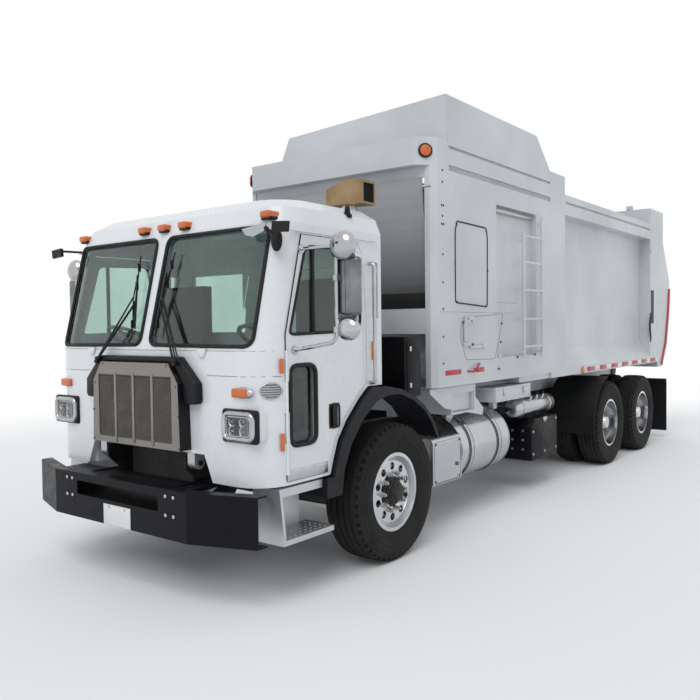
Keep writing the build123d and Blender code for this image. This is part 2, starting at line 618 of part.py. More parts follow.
def make_sills():
    """Body sills on the frame rails, with hinge ears and hoist lugs."""
    sill = block(350, 430, 3900, TIP_Y, 945, RAIL_Z) + bar((350, TIP_Y, TIP_Z), (430, TIP_Y, TIP_Z), 100)
    sill -= bar((340, TIP_Y, TIP_Z), (440, TIP_Y, TIP_Z), TIP_PIN_R + FIT)
    sill -= block(340, 440, BODY_REAR, BODY_REAR + 100, 1095, RAIL_Z + 1)
    eye_y, eye_z = HOIST_EYE
    sill += bar((HOIST_X + 35 + GAP, eye_y, eye_z), (360, eye_y, eye_z), 25)
    return sill


def make_tailgate():
    """Bulged tailgate with side frames, lock bar and hinge ears."""
    y0, tail = BODY_REAR + GAP, OVERALL_LENGTH
    outline = [
        (y0, 1110), (tail - 460, 1110), (tail - 210, 1450), (tail - 60, 1950), (tail, 2450),
        (tail - 375, 3030), (tail - 375, 3500), (y0, 3500),
    ]
    shell = side_plate(outline, -BODY_HALF, BODY_HALF)
    cavity = inset(outline, PLATE_T)
    shell -= side_plate(cavity, PLATE_T - BODY_HALF, BODY_HALF - PLATE_T)
    shell -= block(-925, 925, y0 - 1, y0 + PLATE_T + 1, 1350, 3235)
    hy, hz = TAIL_HINGE_Y, TAIL_HINGE_Z
    ear_outline = [
        (hy - 45, hz - 22), (hy - 50, hz), (hy - 25, hz + 45), (hy + 30, hz + 55), (tail - 460, 3500), (y0, 3500), (y0, 3520),
    ]
    ear = side_plate(ear_outline, 690, 720) - bar((680, hy, hz), (730, hy, hz), TAIL_PIN_R + FIT)
    for piece in pair(ear):
        shell += piece
    return shell


def make_packer():
    """Pendulum packer: curved follower sheet, arms, blade and hub."""
    sheet = front_ring(PACK_R - 14, PACK_R, 180, 216)
    sheet &= block(-985, 985, 2000, 4200, 1000, 3149)
    angles = [radians(a) for a in (183, 194, 205, 215.5)]
    rim = [(PACK_Y + (PACK_R - 15) * cos(a), PACK_Z + (PACK_R - 15) * sin(a)) for a in angles]
    arm = side_plate([(PACK_Y, PACK_Z + 60)] + rim + [(PACK_Y + 60, PACK_Z - 40)], 955, 975)
    packer = sheet + arm + mirror(arm, about=Plane.YZ)
    reach = BODY_HALF - PLATE_T - FIT
    packer += bar((-reach, PACK_Y, PACK_Z), (reach, PACK_Y, PACK_Z), 70)
    return packer


def make_arm():
    """Transverse slide beam with its mast, the lift arm and the two fingers."""
    beam = block(MAST_X1, 1020, SLIDE_Y0, SLIDE_Y1, SLIDE_Z0, SLIDE_Z1)
    mast = block(MAST_X0, MAST_X1, 2860, 3100, SLIDE_Z0 - 20, ARM_Z + 140)
    slide = beam + mast
    slide += bar((ARM_X, 3100, ARM_Z), (ARM_X, 3360, ARM_Z), 40)
    lift = bar((ARM_X, 3102, ARM_Z), (ARM_X, 3300, ARM_Z), 95)
    lift += block(ARM_X - 55, ARM_X + 55, 3140, 3240, FINGER_Z - 60, ARM_Z)
    lift -= bar((ARM_X, 3099, ARM_Z), (ARM_X, 3361, ARM_Z), 40 + FIT)
    gripper = block(ARM_X - 40, ARM_X + 40, FINGER_Y[0] + 45, FINGER_Y[1] - 45, FINGER_Z - 60, FINGER_Z + 60)
    for y in FINGER_Y:
        sign = 1 if y < 3170 else -1
        gripper += block(ARM_X - 30, ARM_X + 30, y - sign * 30, y + sign * 60, FINGER_Z + 65, FINGER_Z + 90)
        gripper += block(ARM_X - 30, ARM_X + 30, y - sign * 30, y + sign * 60, FINGER_Z - 90, FINGER_Z - 65)
        gripper += bar((ARM_X, y, FINGER_Z - 90), (ARM_X, y, FINGER_Z + 90), 15)
        gripper += block(ARM_X - 30, ARM_X + 30, y + sign * 45, y + sign * 60, FINGER_Z - 90, FINGER_Z + 90)
    lift += gripper
    fingers = []
    for y in FINGER_Y:
        sign = -1 if y < 3170 else 1
        finger = bar((ARM_X, y, FINGER_Z - 60), (ARM_X, y, FINGER_Z + 60), 30)
        finger += block(ARM_X - 18, ARM_X + 18, y, y + sign * 480, FINGER_Z - 60, FINGER_Z + 60)
        finger -= bar((ARM_X, y, FINGER_Z - 91), (ARM_X, y, FINGER_Z + 91), 15 + FIT)
        fingers.append(finger)
    return slide, lift, fingers


def make_housing():
    """Guide box that carries the arm's slide beam across the frame."""
    y0, y1, z0, z1 = SLIDE_Y0 - 30, SLIDE_Y1 + 30, SLIDE_Z0 - 25, SLIDE_Z1 + 20
    box = block(-1000, 1050, y0, y1, z0, z1)
    box -= block(-1001, 1051, SLIDE_Y0 - GAP, SLIDE_Y1 + GAP, SLIDE_Z0 - GAP, SLIDE_Z1 + GAP)
    for pad in pair(block(RAIL_X - RAIL_FLANGE, RAIL_X, y0, y1, RAIL_TOP, z0)):
        box += pad
    for x0, x1 in ((-990, -930), (900, 960)):
        box += block(x0, x1, SLIDE_Y0, SLIDE_Y1, SLIDE_Z0 - GAP, SLIDE_Z0 - FIT)
        box += block(x0, x1, SLIDE_Y0, SLIDE_Y1, SLIDE_Z1 + FIT, SLIDE_Z1 + GAP)
    gusset = [(2400, 1240), (2400, 1200), (2640, 1060), (3340, 935), (3360, 1000), (3200, 1120), (3200, 1240)]
    gusset_hole = [(2780, 1000), (3180, 1000), (3180, 1180), (2780, 1180)]
    return box + side_plate(gusset, 1050, 1062) - side_plate(gusset_hole, 1049, 1063)


def make_hoist():
    """Left hoist cylinder's barrel and rod, on the body-tipping hoist."""
    (fy, fz), (ey, ez) = HOIST_FOOT, HOIST_EYE
    length = hypot(ey - fy, ez - fz)
    uy, uz = (ey - fy) / length, (ez - fz) / length

    def at(distance, x):
        return (x, fy + uy * distance, fz + uz * distance)

    barrel = bar(at(80, HOIST_X), at(1200, HOIST_X), HOIST_R)
    barrel += bar(at(20, HOIST_X), at(85, HOIST_X), 36)
    barrel += bar((HOIST_X - 40, fy, fz), (HOIST_X + 40, fy, fz), 55)
    barrel -= bar(at(100, HOIST_X), at(1210, HOIST_X), HOIST_ROD_R + FIT)
    barrel -= bar((HOIST_X - 90, fy, fz), (HOIST_X + 90, fy, fz), 25 + FIT)
    rod = bar(at(110, HOIST_X), at(length - 30, HOIST_X), HOIST_ROD_R)
    rod += bar((HOIST_X - 35, ey, ez), (HOIST_X + 35, ey, ez), 50)
    rod -= bar((HOIST_X - 36, ey, ez), (HOIST_X + 36, ey, ez), 26)
    return barrel, rod


def main():
    os.makedirs("parts", exist_ok=True)
    build_chassis()
    build_cab()
    build_body()
    build_arm()


def build_chassis():
    """Frame, axles, wheels and what hangs on the frame."""
    tyre, rim = make_front_wheel()
    save("front_tyre_left", tyre)
    save("front_tyre_right", pair(tyre)[1])
    save("front_rim_left", rim)
    save("front_rim_right", pair(rim)[1])
    for number, y in enumerate(REAR_AXLE_YS, 1):
        tyres, rims = make_rear_wheels(y)
        save(f"drive{number}_tyres_left", *tyres)
        save(f"drive{number}_tyres_right", *[pair(t)[1] for t in tyres])
        save(f"drive{number}_rims_left", rims)
        save(f"drive{number}_rims_right", pair(rims)[1])
    knuckle = make_knuckle()
    save("knuckle_left", knuckle)
    save("knuckle_right", pair(knuckle)[1])
    save("front_axle", *make_front_axle())
    axles, centre = make_rear_axles()
    save("rear_axles", axles)
    frame = make_frame()
    for saddle in pair(block(450, 530, centre - 60, centre + 60, 420, 660) + block(RAIL_X, 530, centre - 60, centre + 60, 660, 800)):
        frame += saddle
    for pin in pair(bar((RAIL_X, TILT_Y, TILT_Z), (RAIL_X + 110, TILT_Y, TILT_Z), TILT_PIN_R) + side_plate([(250, 840), (330, 765), (420, 765), (420, 925), (250, 925)], RAIL_X, RAIL_X + 14)):
        frame += pin
    for post in pair(block(RAIL_X + 4, RAIL_X + 24, TIP_Y - 100, TIP_Y + 50, 800, 1050) + bar((RAIL_X + 4, TIP_Y, TIP_Z), (RAIL_X + 24, TIP_Y, TIP_Z), 75) + block(RAIL_X, RAIL_X + 4, TIP_Y - 100, TIP_Y + 50, 800, 920) + bar((352, TIP_Y, TIP_Z), (RAIL_X + 10, TIP_Y, TIP_Z), TIP_PIN_R)):
        frame += post
    (fy, fz) = HOIST_FOOT
    for foot in pair(block(180, 200, fy - 50, fy + 50, 720, 850) + block(300, 320, fy - 50, fy + 50, 720, 850) + bar((190, fy, fz), (310, fy, fz), 25)):
        frame += foot
    save("frame", frame)
    bumper, base = make_bumper()
    save("bumper", *bumper)
    engine = block(-300, 300, 700, 1700, 620, 1290) + block(-200, 200, 1700, 2100, 600, 1000)
    engine += bar((0, 2100, 700), (0, 2645 - FIT, 700), 65)
    for foot in pair(block(300, RAIL_X - RAIL_T, 900, 960, 700, 760)):
        engine += foot
    save("engine", engine, block(-340, 340, 400, 480, 700, 1350))
    arch, leg = make_flare()
    save("fenders", *pair(arch), *pair(leg))
    save("steps", *pair(make_steps()))
    tank = bar((800, 2860, 650), (800, 3820, 650), 310)
    for y in (2980, 3640):
        tank += block(RAIL_X, 600, y, y + 60, 680, 920)
    for y in STRAP_YS:
        tank += bar((800, y, 650), (800, y + 60, 650), 318)
    front_part = block(600, 1100, 2370, 2862, 400, 820)
    tank += fillet(front_part.edges().filter_by(Axis.Y), 45)
    save("fuel_tank", tank)
    boxes = [block(600, 1080, 4410, 5100, 330, 770) + block(RAIL_X, 600, 4700, 4800, 680, 740)]
    boxes.append(block(850, 1100, 3550, 4350, 1030, 1170) + block(RAIL_X, 900, 3880, 3960, 900, 928) + block(850, 900, 3880, 3960, 900, 1030))
    boxes.append(block(350, 1040, 2040, 2290, 1200, 1700) + block(350, 430, 2080, 2250, RAIL_TOP, 1200))
    boxes.append(bar((950, 4200, 900), (950, 5150, 900), 95) + block(RAIL_X, 900, 4300, 4340, 880, 910) + block(RAIL_X, 900, 4980, 5020, 880, 910))
    save("equipment_boxes", *boxes)
    stack = bar((620, 1870, 1000), (620, 1870, 2800), 60) + bar((620, 1870, 1300), (620, 1870, 2300), 110)
    stack += block(RAIL_X, 640, 1830, 1910, 880, 1010)
    mouth = [(450, 2790), (820, 2775), (820, 2965), (670, 2990), (450, 2925)]
    stack += front_plate(mouth, 1780, 1960)
    stack -= front_plate([(470, 2810), (821, 2795), (821, 2946), (672, 2970), (470, 2908)], 1800, 1940)
    save("exhaust_stack", stack)
    y0 = RAIL_REAR_Y
    eye = side_plate([(y0, 740), (y0 + 100, 740), (y0 + 120, 790), (y0 + 100, 840), (y0, 840)], 375, 405)
    eye -= bar((370, y0 + 65, 790), (410, y0 + 65, 790), 25)
    save("tow_eyes", *pair(eye))
    flap = block(600, 1200, y0 + 20, y0 + 32, 120, 925) + block(RAIL_X, 1200, y0 - 20, y0 + 20, 880, 915)
    quarter = side_plate(arc_band(REAR_AXLE_YS[0], TYRE_R, 600, 608, 100, 188, 8), 600, 1210)
    quarter += block(RAIL_X, 602, 5930, 5956, 690, 720)
    save("mud_flaps", *pair(flap), *pair(quarter))


def build_cab():
    """Cab shell, doors and everything that tilts with it."""
    outer = cab_form(0, CAB_BOTTOM, 0)
    shell, cover = make_cab(outer)
    for stretch in hinge_barrels(CAB_BARRELS, CAB_HALF - 6, DOOR_HINGE_Y - 25, DOOR_HINGE_Y - GAP):
        for piece in pair(stretch):
            shell += piece
    save("cab_shell", shell)
    save("engine_cover", cover)
    save("cab_glass", *make_glass(outer))
    door, glass = make_door()
    save("door_left", door)
    save("door_right", pair(door)[1])
    save("door_glass_left", *glass)
    save("door_glass_right", *[pair(g)[1] for g in glass])
    mirror_piece = make_mirror()
    save("mirror_left", mirror_piece)
    save("mirror_right", pair(mirror_piece)[1])
    grille, hood = make_grille()
    save("grille", grille)
    save("grille_surround", hood)
    lamps = pair(block(818, 1118, 228, 420, 1063, 1264) - outer)
    save("headlamps", *lamps)
    bracket = block(RAIL_X + 28, RAIL_X + 98, TILT_Y - 45, TILT_Y + 45, TILT_Z, 950)
    bracket += block(RAIL_X + 28, RAIL_X + 98, CAB_FRONT + CAB_WALL, TILT_Y + 120, 950, 1000)
    bracket += bar((RAIL_X + 28, TILT_Y, TILT_Z), (RAIL_X + 98, TILT_Y, TILT_Z), 45)
    bracket -= bar((RAIL_X, TILT_Y, TILT_Z), (RAIL_X + 120, TILT_Y, TILT_Z), TILT_PIN_R + FIT)
    save("tilt_brackets", *pair(bracket))
    seats = []
    for x in (-760, 760):
        seat = block(x - 240, x + 240, 830, 1310, 1430, 1550) + block(x - 230, x + 230, 1290, 1390, 1430, 2150)
        seats.append(seat + block(x - 130, x + 130, 860, 960, CAB_FLOOR, 1431))
    save("seats", *seats)
    save("cab_interior", *make_interior())
    ambers = []
    for x, y in ((0, 470), (228, 470), (1055, 505)):
        lamp = block(x - 32, x + 32, y, y + 95, 2520, 2562) - outer
        ambers += [lamp] if x == 0 else pair(lamp)
    ambers += pair(block(890, 1090, 236, 420, 1343, 1408) - outer)
    save("amber_lamps", *ambers)
    rail = pipe([(CAB_HALF, 1385, 1375), (1215, 1385, 1375), (1215, 1385, 2245), (CAB_HALF, 1385, 2245)], 25, 14)
    save("grab_rails", *pair(rail))
    save("cab_trim", *make_trim(outer))


def make_interior():
    """Dashboard and the two steering wheels of a dual-drive cab."""
    dash = block(-1100, 1100, 300, 600, 1400, 1600) & cab_form(CAB_WALL + FIT, CAB_FLOOR - 10, 30)
    dash -= block(-TUNNEL_HALF - 40 - FIT, TUNNEL_HALF + 40 + FIT, 262, 700, 900, TUNNEL_TOP + 40 + FIT)
    wheels = []
    for x in (-760, 760):
        tilt = Plane(origin=(x, 735, 1700), z_dir=(0, 0.5, 0.87))
        wheel = tilt * Torus(210, 15) + tilt * Cylinder(50, 24) + tilt * Box(400, 30, 16)
        wheels.append(wheel + bar((x, 735, 1700), (x, 590, 1560), 28))
    for wheel in wheels:
        dash += wheel
    return [dash]


def make_trim(outer):
    """Wipers on the hood's corners and the small corner mirrors."""
    pieces = []
    for side in (1, -1):
        base, tip = (side * 440, 168, 1555), (side * 135, 302, 1985)
        wiper = bar((base[0], 195, 1555), (base[0], 160, 1555), 16) + bar(base, tip, 8)
        wiper += bar((tip[0] - side * 15, 275, 1790), (tip[0] + side * 30, 345, 2180), 8)
        pieces.append(wiper)
        arm = bar((side * 1080, 520, 2420), (side * 1205, 380, 2430), 9) - outer
        head = front_plate([(side * 1170, 2385), (side * 1300, 2375), (side * 1310, 2440), (side * 1180, 2450)], 352, 376)
        pieces.append(arm + head)
    return pieces


def build_body():
    """Refuse body, packer, tailgate and hoist."""
    save("hopper", make_hopper() + make_canopy(), make_ladder())
    store = make_store()
    for sill in pair(make_sills()):
        store += sill
    save("store_body", store)
    save("body_lamps", *pair(bar((1025, 2405, 3270), (1040, 2390, 3270), 50)))
    save("packer", make_packer())
    save("tailgate", make_tailgate())
    strip = [(OVERALL_LENGTH - back, z) for back, z in [
        (455, 1130), (215, 1455), (68, 1950), (15, 2330), (70, 2330), (125, 1960), (270, 1480), (480, 1180),
    ]]
    save("prop_bars", *pair(side_plate(strip, BODY_HALF, BODY_HALF + 20)))
    barrel, rod = make_hoist()
    save("hoist_barrels", *pair(barrel))
    save("hoist_rods", *pair(rod))


def build_arm():
    """Collection arm on the right side."""
    slide, lift, fingers = make_arm()
    save("arm_housing", make_housing())
    save("arm_slide", slide)
    save("lift_arm", lift)
    save("finger_front", fingers[0])
    save("finger_rear", fingers[1])


if __name__ == "__main__":
    main()
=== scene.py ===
"""Looks of an automated side-loading garbage truck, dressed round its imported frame.

Lengths are metres. Pieces are shaped at stations: y runs back from the bumper's face,
and a finished mesh is moved by STATION_SHIFT into the frame's own axes.
"""

from __future__ import annotations

import json
import logging
import math
from dataclasses import dataclass, field
from enum import Enum
from typing import Iterable, Optional, Sequence

import bmesh
import bpy
from mathutils import Matrix, Vector

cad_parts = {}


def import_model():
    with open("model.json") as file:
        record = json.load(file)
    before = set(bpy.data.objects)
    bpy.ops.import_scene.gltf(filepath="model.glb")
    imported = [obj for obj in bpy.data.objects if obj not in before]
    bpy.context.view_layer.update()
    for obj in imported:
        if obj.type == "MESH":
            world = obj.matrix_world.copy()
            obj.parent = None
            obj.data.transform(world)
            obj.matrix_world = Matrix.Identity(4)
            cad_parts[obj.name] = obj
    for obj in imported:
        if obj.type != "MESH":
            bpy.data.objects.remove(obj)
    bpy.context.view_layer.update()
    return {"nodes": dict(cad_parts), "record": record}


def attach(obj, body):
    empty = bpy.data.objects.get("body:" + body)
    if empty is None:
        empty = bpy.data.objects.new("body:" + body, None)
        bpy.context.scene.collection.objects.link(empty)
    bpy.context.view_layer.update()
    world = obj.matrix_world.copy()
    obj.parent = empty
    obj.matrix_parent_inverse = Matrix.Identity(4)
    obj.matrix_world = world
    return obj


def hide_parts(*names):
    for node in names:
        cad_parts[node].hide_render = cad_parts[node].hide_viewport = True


LOG = logging.getLogger("truck")
STATION_SHIFT = Vector((0.0, -4.83, 0.0))
Point = tuple[float, float, float]
Flat = tuple[float, float]
Colour = tuple[float, float, float]
HUB_HEIGHT = 0.525
COAT_ROUGHNESS = 0.06
GLASS_IOR = 1.45
BUMP_DEPTH = 0.002
DUST_COLOUR = (0.30, 0.28, 0.25)
HEAT_COLOUR = (0.20, 0.13, 0.07)
MERGE_GAP = 1e-5
CORNER_STEPS = 6
WASHER_HALF = 0.002
WASHER_SHARE = 1.45
BOLT_EDGE_SHARE = 0.15


class Grain(Enum):
    """Surface pattern of a finish."""

    PEEL = "sprayed paint"
    BRUSHED_UP = "brushed upwards"
    BRUSHED_ACROSS = "brushed side to side"
    CAST = "sand cast"
    MOULD = "moulded grain"
    RUBBER = "tyre rubber"
    WEAVE = "woven cloth"
    HEAT = "heat tint"
    FLUTED = "fluted lens"
    TAPE = "reflective cells"
    PLAIN = "polished"


class Run(Enum):
    """Axis that an outline is extruded along."""

    X = 0
    Y = 1
    Z = 2


class Side(Enum):
    """Side of the truck, by the sign of x."""

    LEFT = 1
    RIGHT = -1

    @property
    def word(self) -> str:
        """Name used in bodies and pieces."""
        return self.name.lower()


@dataclass(frozen=True)
class Finish:
    """Colour, gloss and surface pattern of one material."""

    name: str
    colour: Colour
    slot: str
    grain: Grain = Grain.PEEL
    metallic: float = 0.0
    roughness: float = 0.5
    spread: float = 0.08
    blotch: float = 0.06
    blotch_scale: float = 1.3
    bump: float = 0.05
    grain_scale: float = 300.0
    dust: float = 0.0
    dust_top: float = 1.2
    coat: float = 0.0
    glass: float = 0.0
    emission: float = 0.0
    specular: float = 0.5


class Dresser:
    """Builds each finish's node material once and hands it out."""

    def __init__(self) -> None:
        """Start with no materials."""
        self.made: dict[str, bpy.types.Material] = {}

    def material(self, finish: Finish) -> bpy.types.Material:
        """Material of a finish.

        Args:
            finish: The finish wanted.

        Returns:
            The material, built on first use.
        """
        if finish.name not in self.made:
            self.made[finish.name] = FinishTree(finish).build()
        return self.made[finish.name]


class FinishTree:
    """Node tree of one finish, on Object coordinates."""

    def __init__(self, finish: Finish) -> None:
        """Make the empty tree.

        Args:
            finish: The finish to build.
        """
        self.finish = finish
        self.material = bpy.data.materials.new(finish.name)
        self.material.use_nodes = True
        self.tree = self.material.node_tree
        self.shader = self.tree.nodes["Principled BSDF"]
        self.place = self.tree.nodes.new("ShaderNodeTexCoord").outputs["Object"]

    def link(self, source: bpy.types.NodeSocket, target: bpy.types.NodeSocket) -> None:
        """Join two sockets."""
        self.tree.links.new(source, target)

    def stretched(self, scale: Point) -> bpy.types.NodeSocket:
        """Object coordinates scaled by axis.

        Args:
            scale: Factor along each axis.

        Returns:
            The mapped vector.
        """
        node = self.tree.nodes.new("ShaderNodeMapping")
        node.inputs["Scale"].default_value = scale
        self.link(self.place, node.inputs["Vector"])
        return node.outputs["Vector"]

    def noise(
        self, scale: float, detail: float = 4.0, vector: Optional[bpy.types.NodeSocket] = None
    ) -> bpy.types.NodeSocket:
        """Cloudy noise.

        Args:
            scale: Repeats per metre.
            detail: Octaves.
            vector: Coordinates, or the plain ones.

        Returns:
            The factor socket.
        """
        node = self.tree.nodes.new("ShaderNodeTexNoise")
        node.inputs["Scale"].default_value = scale
        node.inputs["Detail"].default_value = detail
        self.link(vector or self.place, node.inputs["Vector"])
        return node.outputs["Fac"]

    def cells(
        self, scale: float, vector: Optional[bpy.types.NodeSocket] = None
    ) -> bpy.types.NodeSocket:
        """Distance to the nearest of scattered cells.

        Args:
            scale: Cells per metre.
            vector: Coordinates, or the plain ones.

        Returns:
            The distance socket.
        """
        node = self.tree.nodes.new("ShaderNodeTexVoronoi")
        node.inputs["Scale"].default_value = scale
        self.link(vector or self.place, node.inputs["Vector"])
        return node.outputs["Distance"]

    def wave(self, scale: float, axis: str) -> bpy.types.NodeSocket:
        """Straight waves across an axis.

        Args:
            scale: Repeats per metre.
            axis: Axis that the waves follow.

        Returns:
            The factor socket.
        """
        node = self.tree.nodes.new("ShaderNodeTexWave")
        node.bands_direction = axis
        node.inputs["Scale"].default_value = scale
        self.link(self.place, node.inputs["Vector"])
        return node.outputs["Fac"]

    def ranged(
        self, value: bpy.types.NodeSocket, old: Flat, new: Flat
    ) -> bpy.types.NodeSocket:
        """Value moved from an old range to a new one, held at its ends.

        Args:
            value: The value socket.
            old: Lowest and highest value that come in.
            new: What they become.

        Returns:
            The moved value.
        """
        node = self.tree.nodes.new("ShaderNodeMapRange")
        for name, number in zip(("From Min", "From Max", "To Min", "To Max"), old + new):
            node.inputs[name].default_value = number
        self.link(value, node.inputs["Value"])
        return node.outputs["Result"]

    def maths(
        self, how: str, first: bpy.types.NodeSocket, second: "bpy.types.NodeSocket | float"
    ) -> bpy.types.NodeSocket:
        """Two values joined by a Math node.

        Args:
            how: The node's operation.
            first: First value.
            second: Second value, or a plain number.

        Returns:
            The result socket.
        """
        node = self.tree.nodes.new("ShaderNodeMath")
        node.operation = how
        self.link(first, node.inputs[0])
        if isinstance(second, float):
            node.inputs[1].default_value = second
        else:
            self.link(second, node.inputs[1])
        return node.outputs[0]

    def mixed(
        self,
        share: bpy.types.NodeSocket,
        low: "bpy.types.NodeSocket | Colour",
        high: "bpy.types.NodeSocket | Colour",
    ) -> bpy.types.NodeSocket:
        """Colour between two colours or colour sockets.

        Args:
            share: How far towards the second colour.
            low: First colour.
            high: Second colour.

        Returns:
            The mixed colour.
        """
        node = self.tree.nodes.new("ShaderNodeMix")
        node.data_type = "RGBA"
        self.link(share, node.inputs[0])
        for socket, value in ((node.inputs[6], low), (node.inputs[7], high)):
            if isinstance(value, tuple):
                socket.default_value = (*value, 1.0)
            else:
                self.link(value, socket)
        return node.outputs[2]

    def height(self) -> bpy.types.NodeSocket:
        """Height above the ground."""
        node = self.tree.nodes.new("ShaderNodeSeparateXYZ")
        self.link(self.place, node.inputs[0])
        return node.outputs["Z"]

    def relief(self) -> bpy.types.NodeSocket:
        """Height pattern of the grain."""
        f = self.finish
        if f.grain is Grain.PLAIN:
            return self.noise(4.0, 2.0)
        if f.grain is Grain.PEEL:
            return self.noise(f.grain_scale, 2.0)
        if f.grain is Grain.BRUSHED_UP:
            return self.noise(f.grain_scale, 3.0, self.stretched((1.0, 1.0, 0.02)))
        if f.grain is Grain.BRUSHED_ACROSS:
            return self.noise(f.grain_scale, 3.0, self.stretched((0.02, 1.0, 1.0)))
        if f.grain is Grain.CAST:
            return self.maths("ADD", self.noise(90.0, 5.0), self.cells(160.0))
        if f.grain is Grain.MOULD:
            return self.cells(f.grain_scale)
        if f.grain is Grain.RUBBER:
            return self.maths("ADD", self.noise(60.0, 5.0), self.noise(500.0, 2.0))
        if f.grain is Grain.WEAVE:
            return self.maths("MULTIPLY", self.wave(150.0, "X"), self.wave(150.0, "Z"))
        if f.grain is Grain.FLUTED:
            return self.maths("ADD", self.wave(60.0, "X"), self.wave(60.0, "Z"))
        if f.grain is Grain.TAPE:
            return self.cells(260.0)
        return self.noise(9.0, 5.0)

    def build(self) -> bpy.types.Material:
        """Fill the tree.

        Returns:
            The finished material.
        """
        f, inputs = self.finish, self.shader.inputs
        inputs["Metallic"].default_value = f.metallic
        inputs["Specular IOR Level"].default_value = f.specular
        inputs["Coat Weight"].default_value = f.coat
        inputs["Coat Roughness"].default_value = COAT_ROUGHNESS
        inputs["Transmission Weight"].default_value = f.glass
        if f.glass:
            inputs["IOR"].default_value = GLASS_IOR
        cloud = self.noise(f.blotch_scale, 5.0)
        dark = tuple(c * (1.0 - f.blotch) for c in f.colour)
        light = tuple(min(1.0, c * (1.0 + f.blotch)) for c in f.colour)
        colour = self.mixed(self.ranged(cloud, (0.35, 0.65), (0.0, 1.0)), dark, light)
        if f.grain is Grain.HEAT:
            tint = self.ranged(self.noise(3.0, 3.0), (0.3, 0.7), (0.0, 1.0))
            colour = self.mixed(tint, colour, HEAT_COLOUR)
        if f.grain is Grain.WEAVE:
            colour = self.mixed(self.noise(400.0, 1.0), colour, dark)
        if f.dust:
            low = self.ranged(self.height(), (0.25, f.dust_top), (1.0, 0.0))
            patch = self.ranged(self.noise(5.0, 8.0), (0.35, 0.75), (0.15, 1.0))
            share = self.maths("MULTIPLY", self.maths("MULTIPLY", low, patch), f.dust)
            colour = self.mixed(share, colour, DUST_COLOUR)
        self.link(colour, inputs["Base Color"])
        streak = self.noise(14.0, 6.0)
        rough = self.ranged(
            streak, (0.3, 0.7), (max(0.02, f.roughness - f.spread), f.roughness + f.spread)
        )
        self.link(rough, inputs["Roughness"])
        if f.emission:
            inputs["Emission Color"].default_value = (*f.colour, 1.0)
            inputs["Emission Strength"].default_value = f.emission
        bump = self.tree.nodes.new("ShaderNodeBump")
        bump.inputs["Strength"].default_value = f.bump
        bump.inputs["Distance"].default_value = BUMP_DEPTH
        self.link(self.relief(), bump.inputs["Height"])
        self.link(bump.outputs["Normal"], inputs["Normal"])
        return self.material


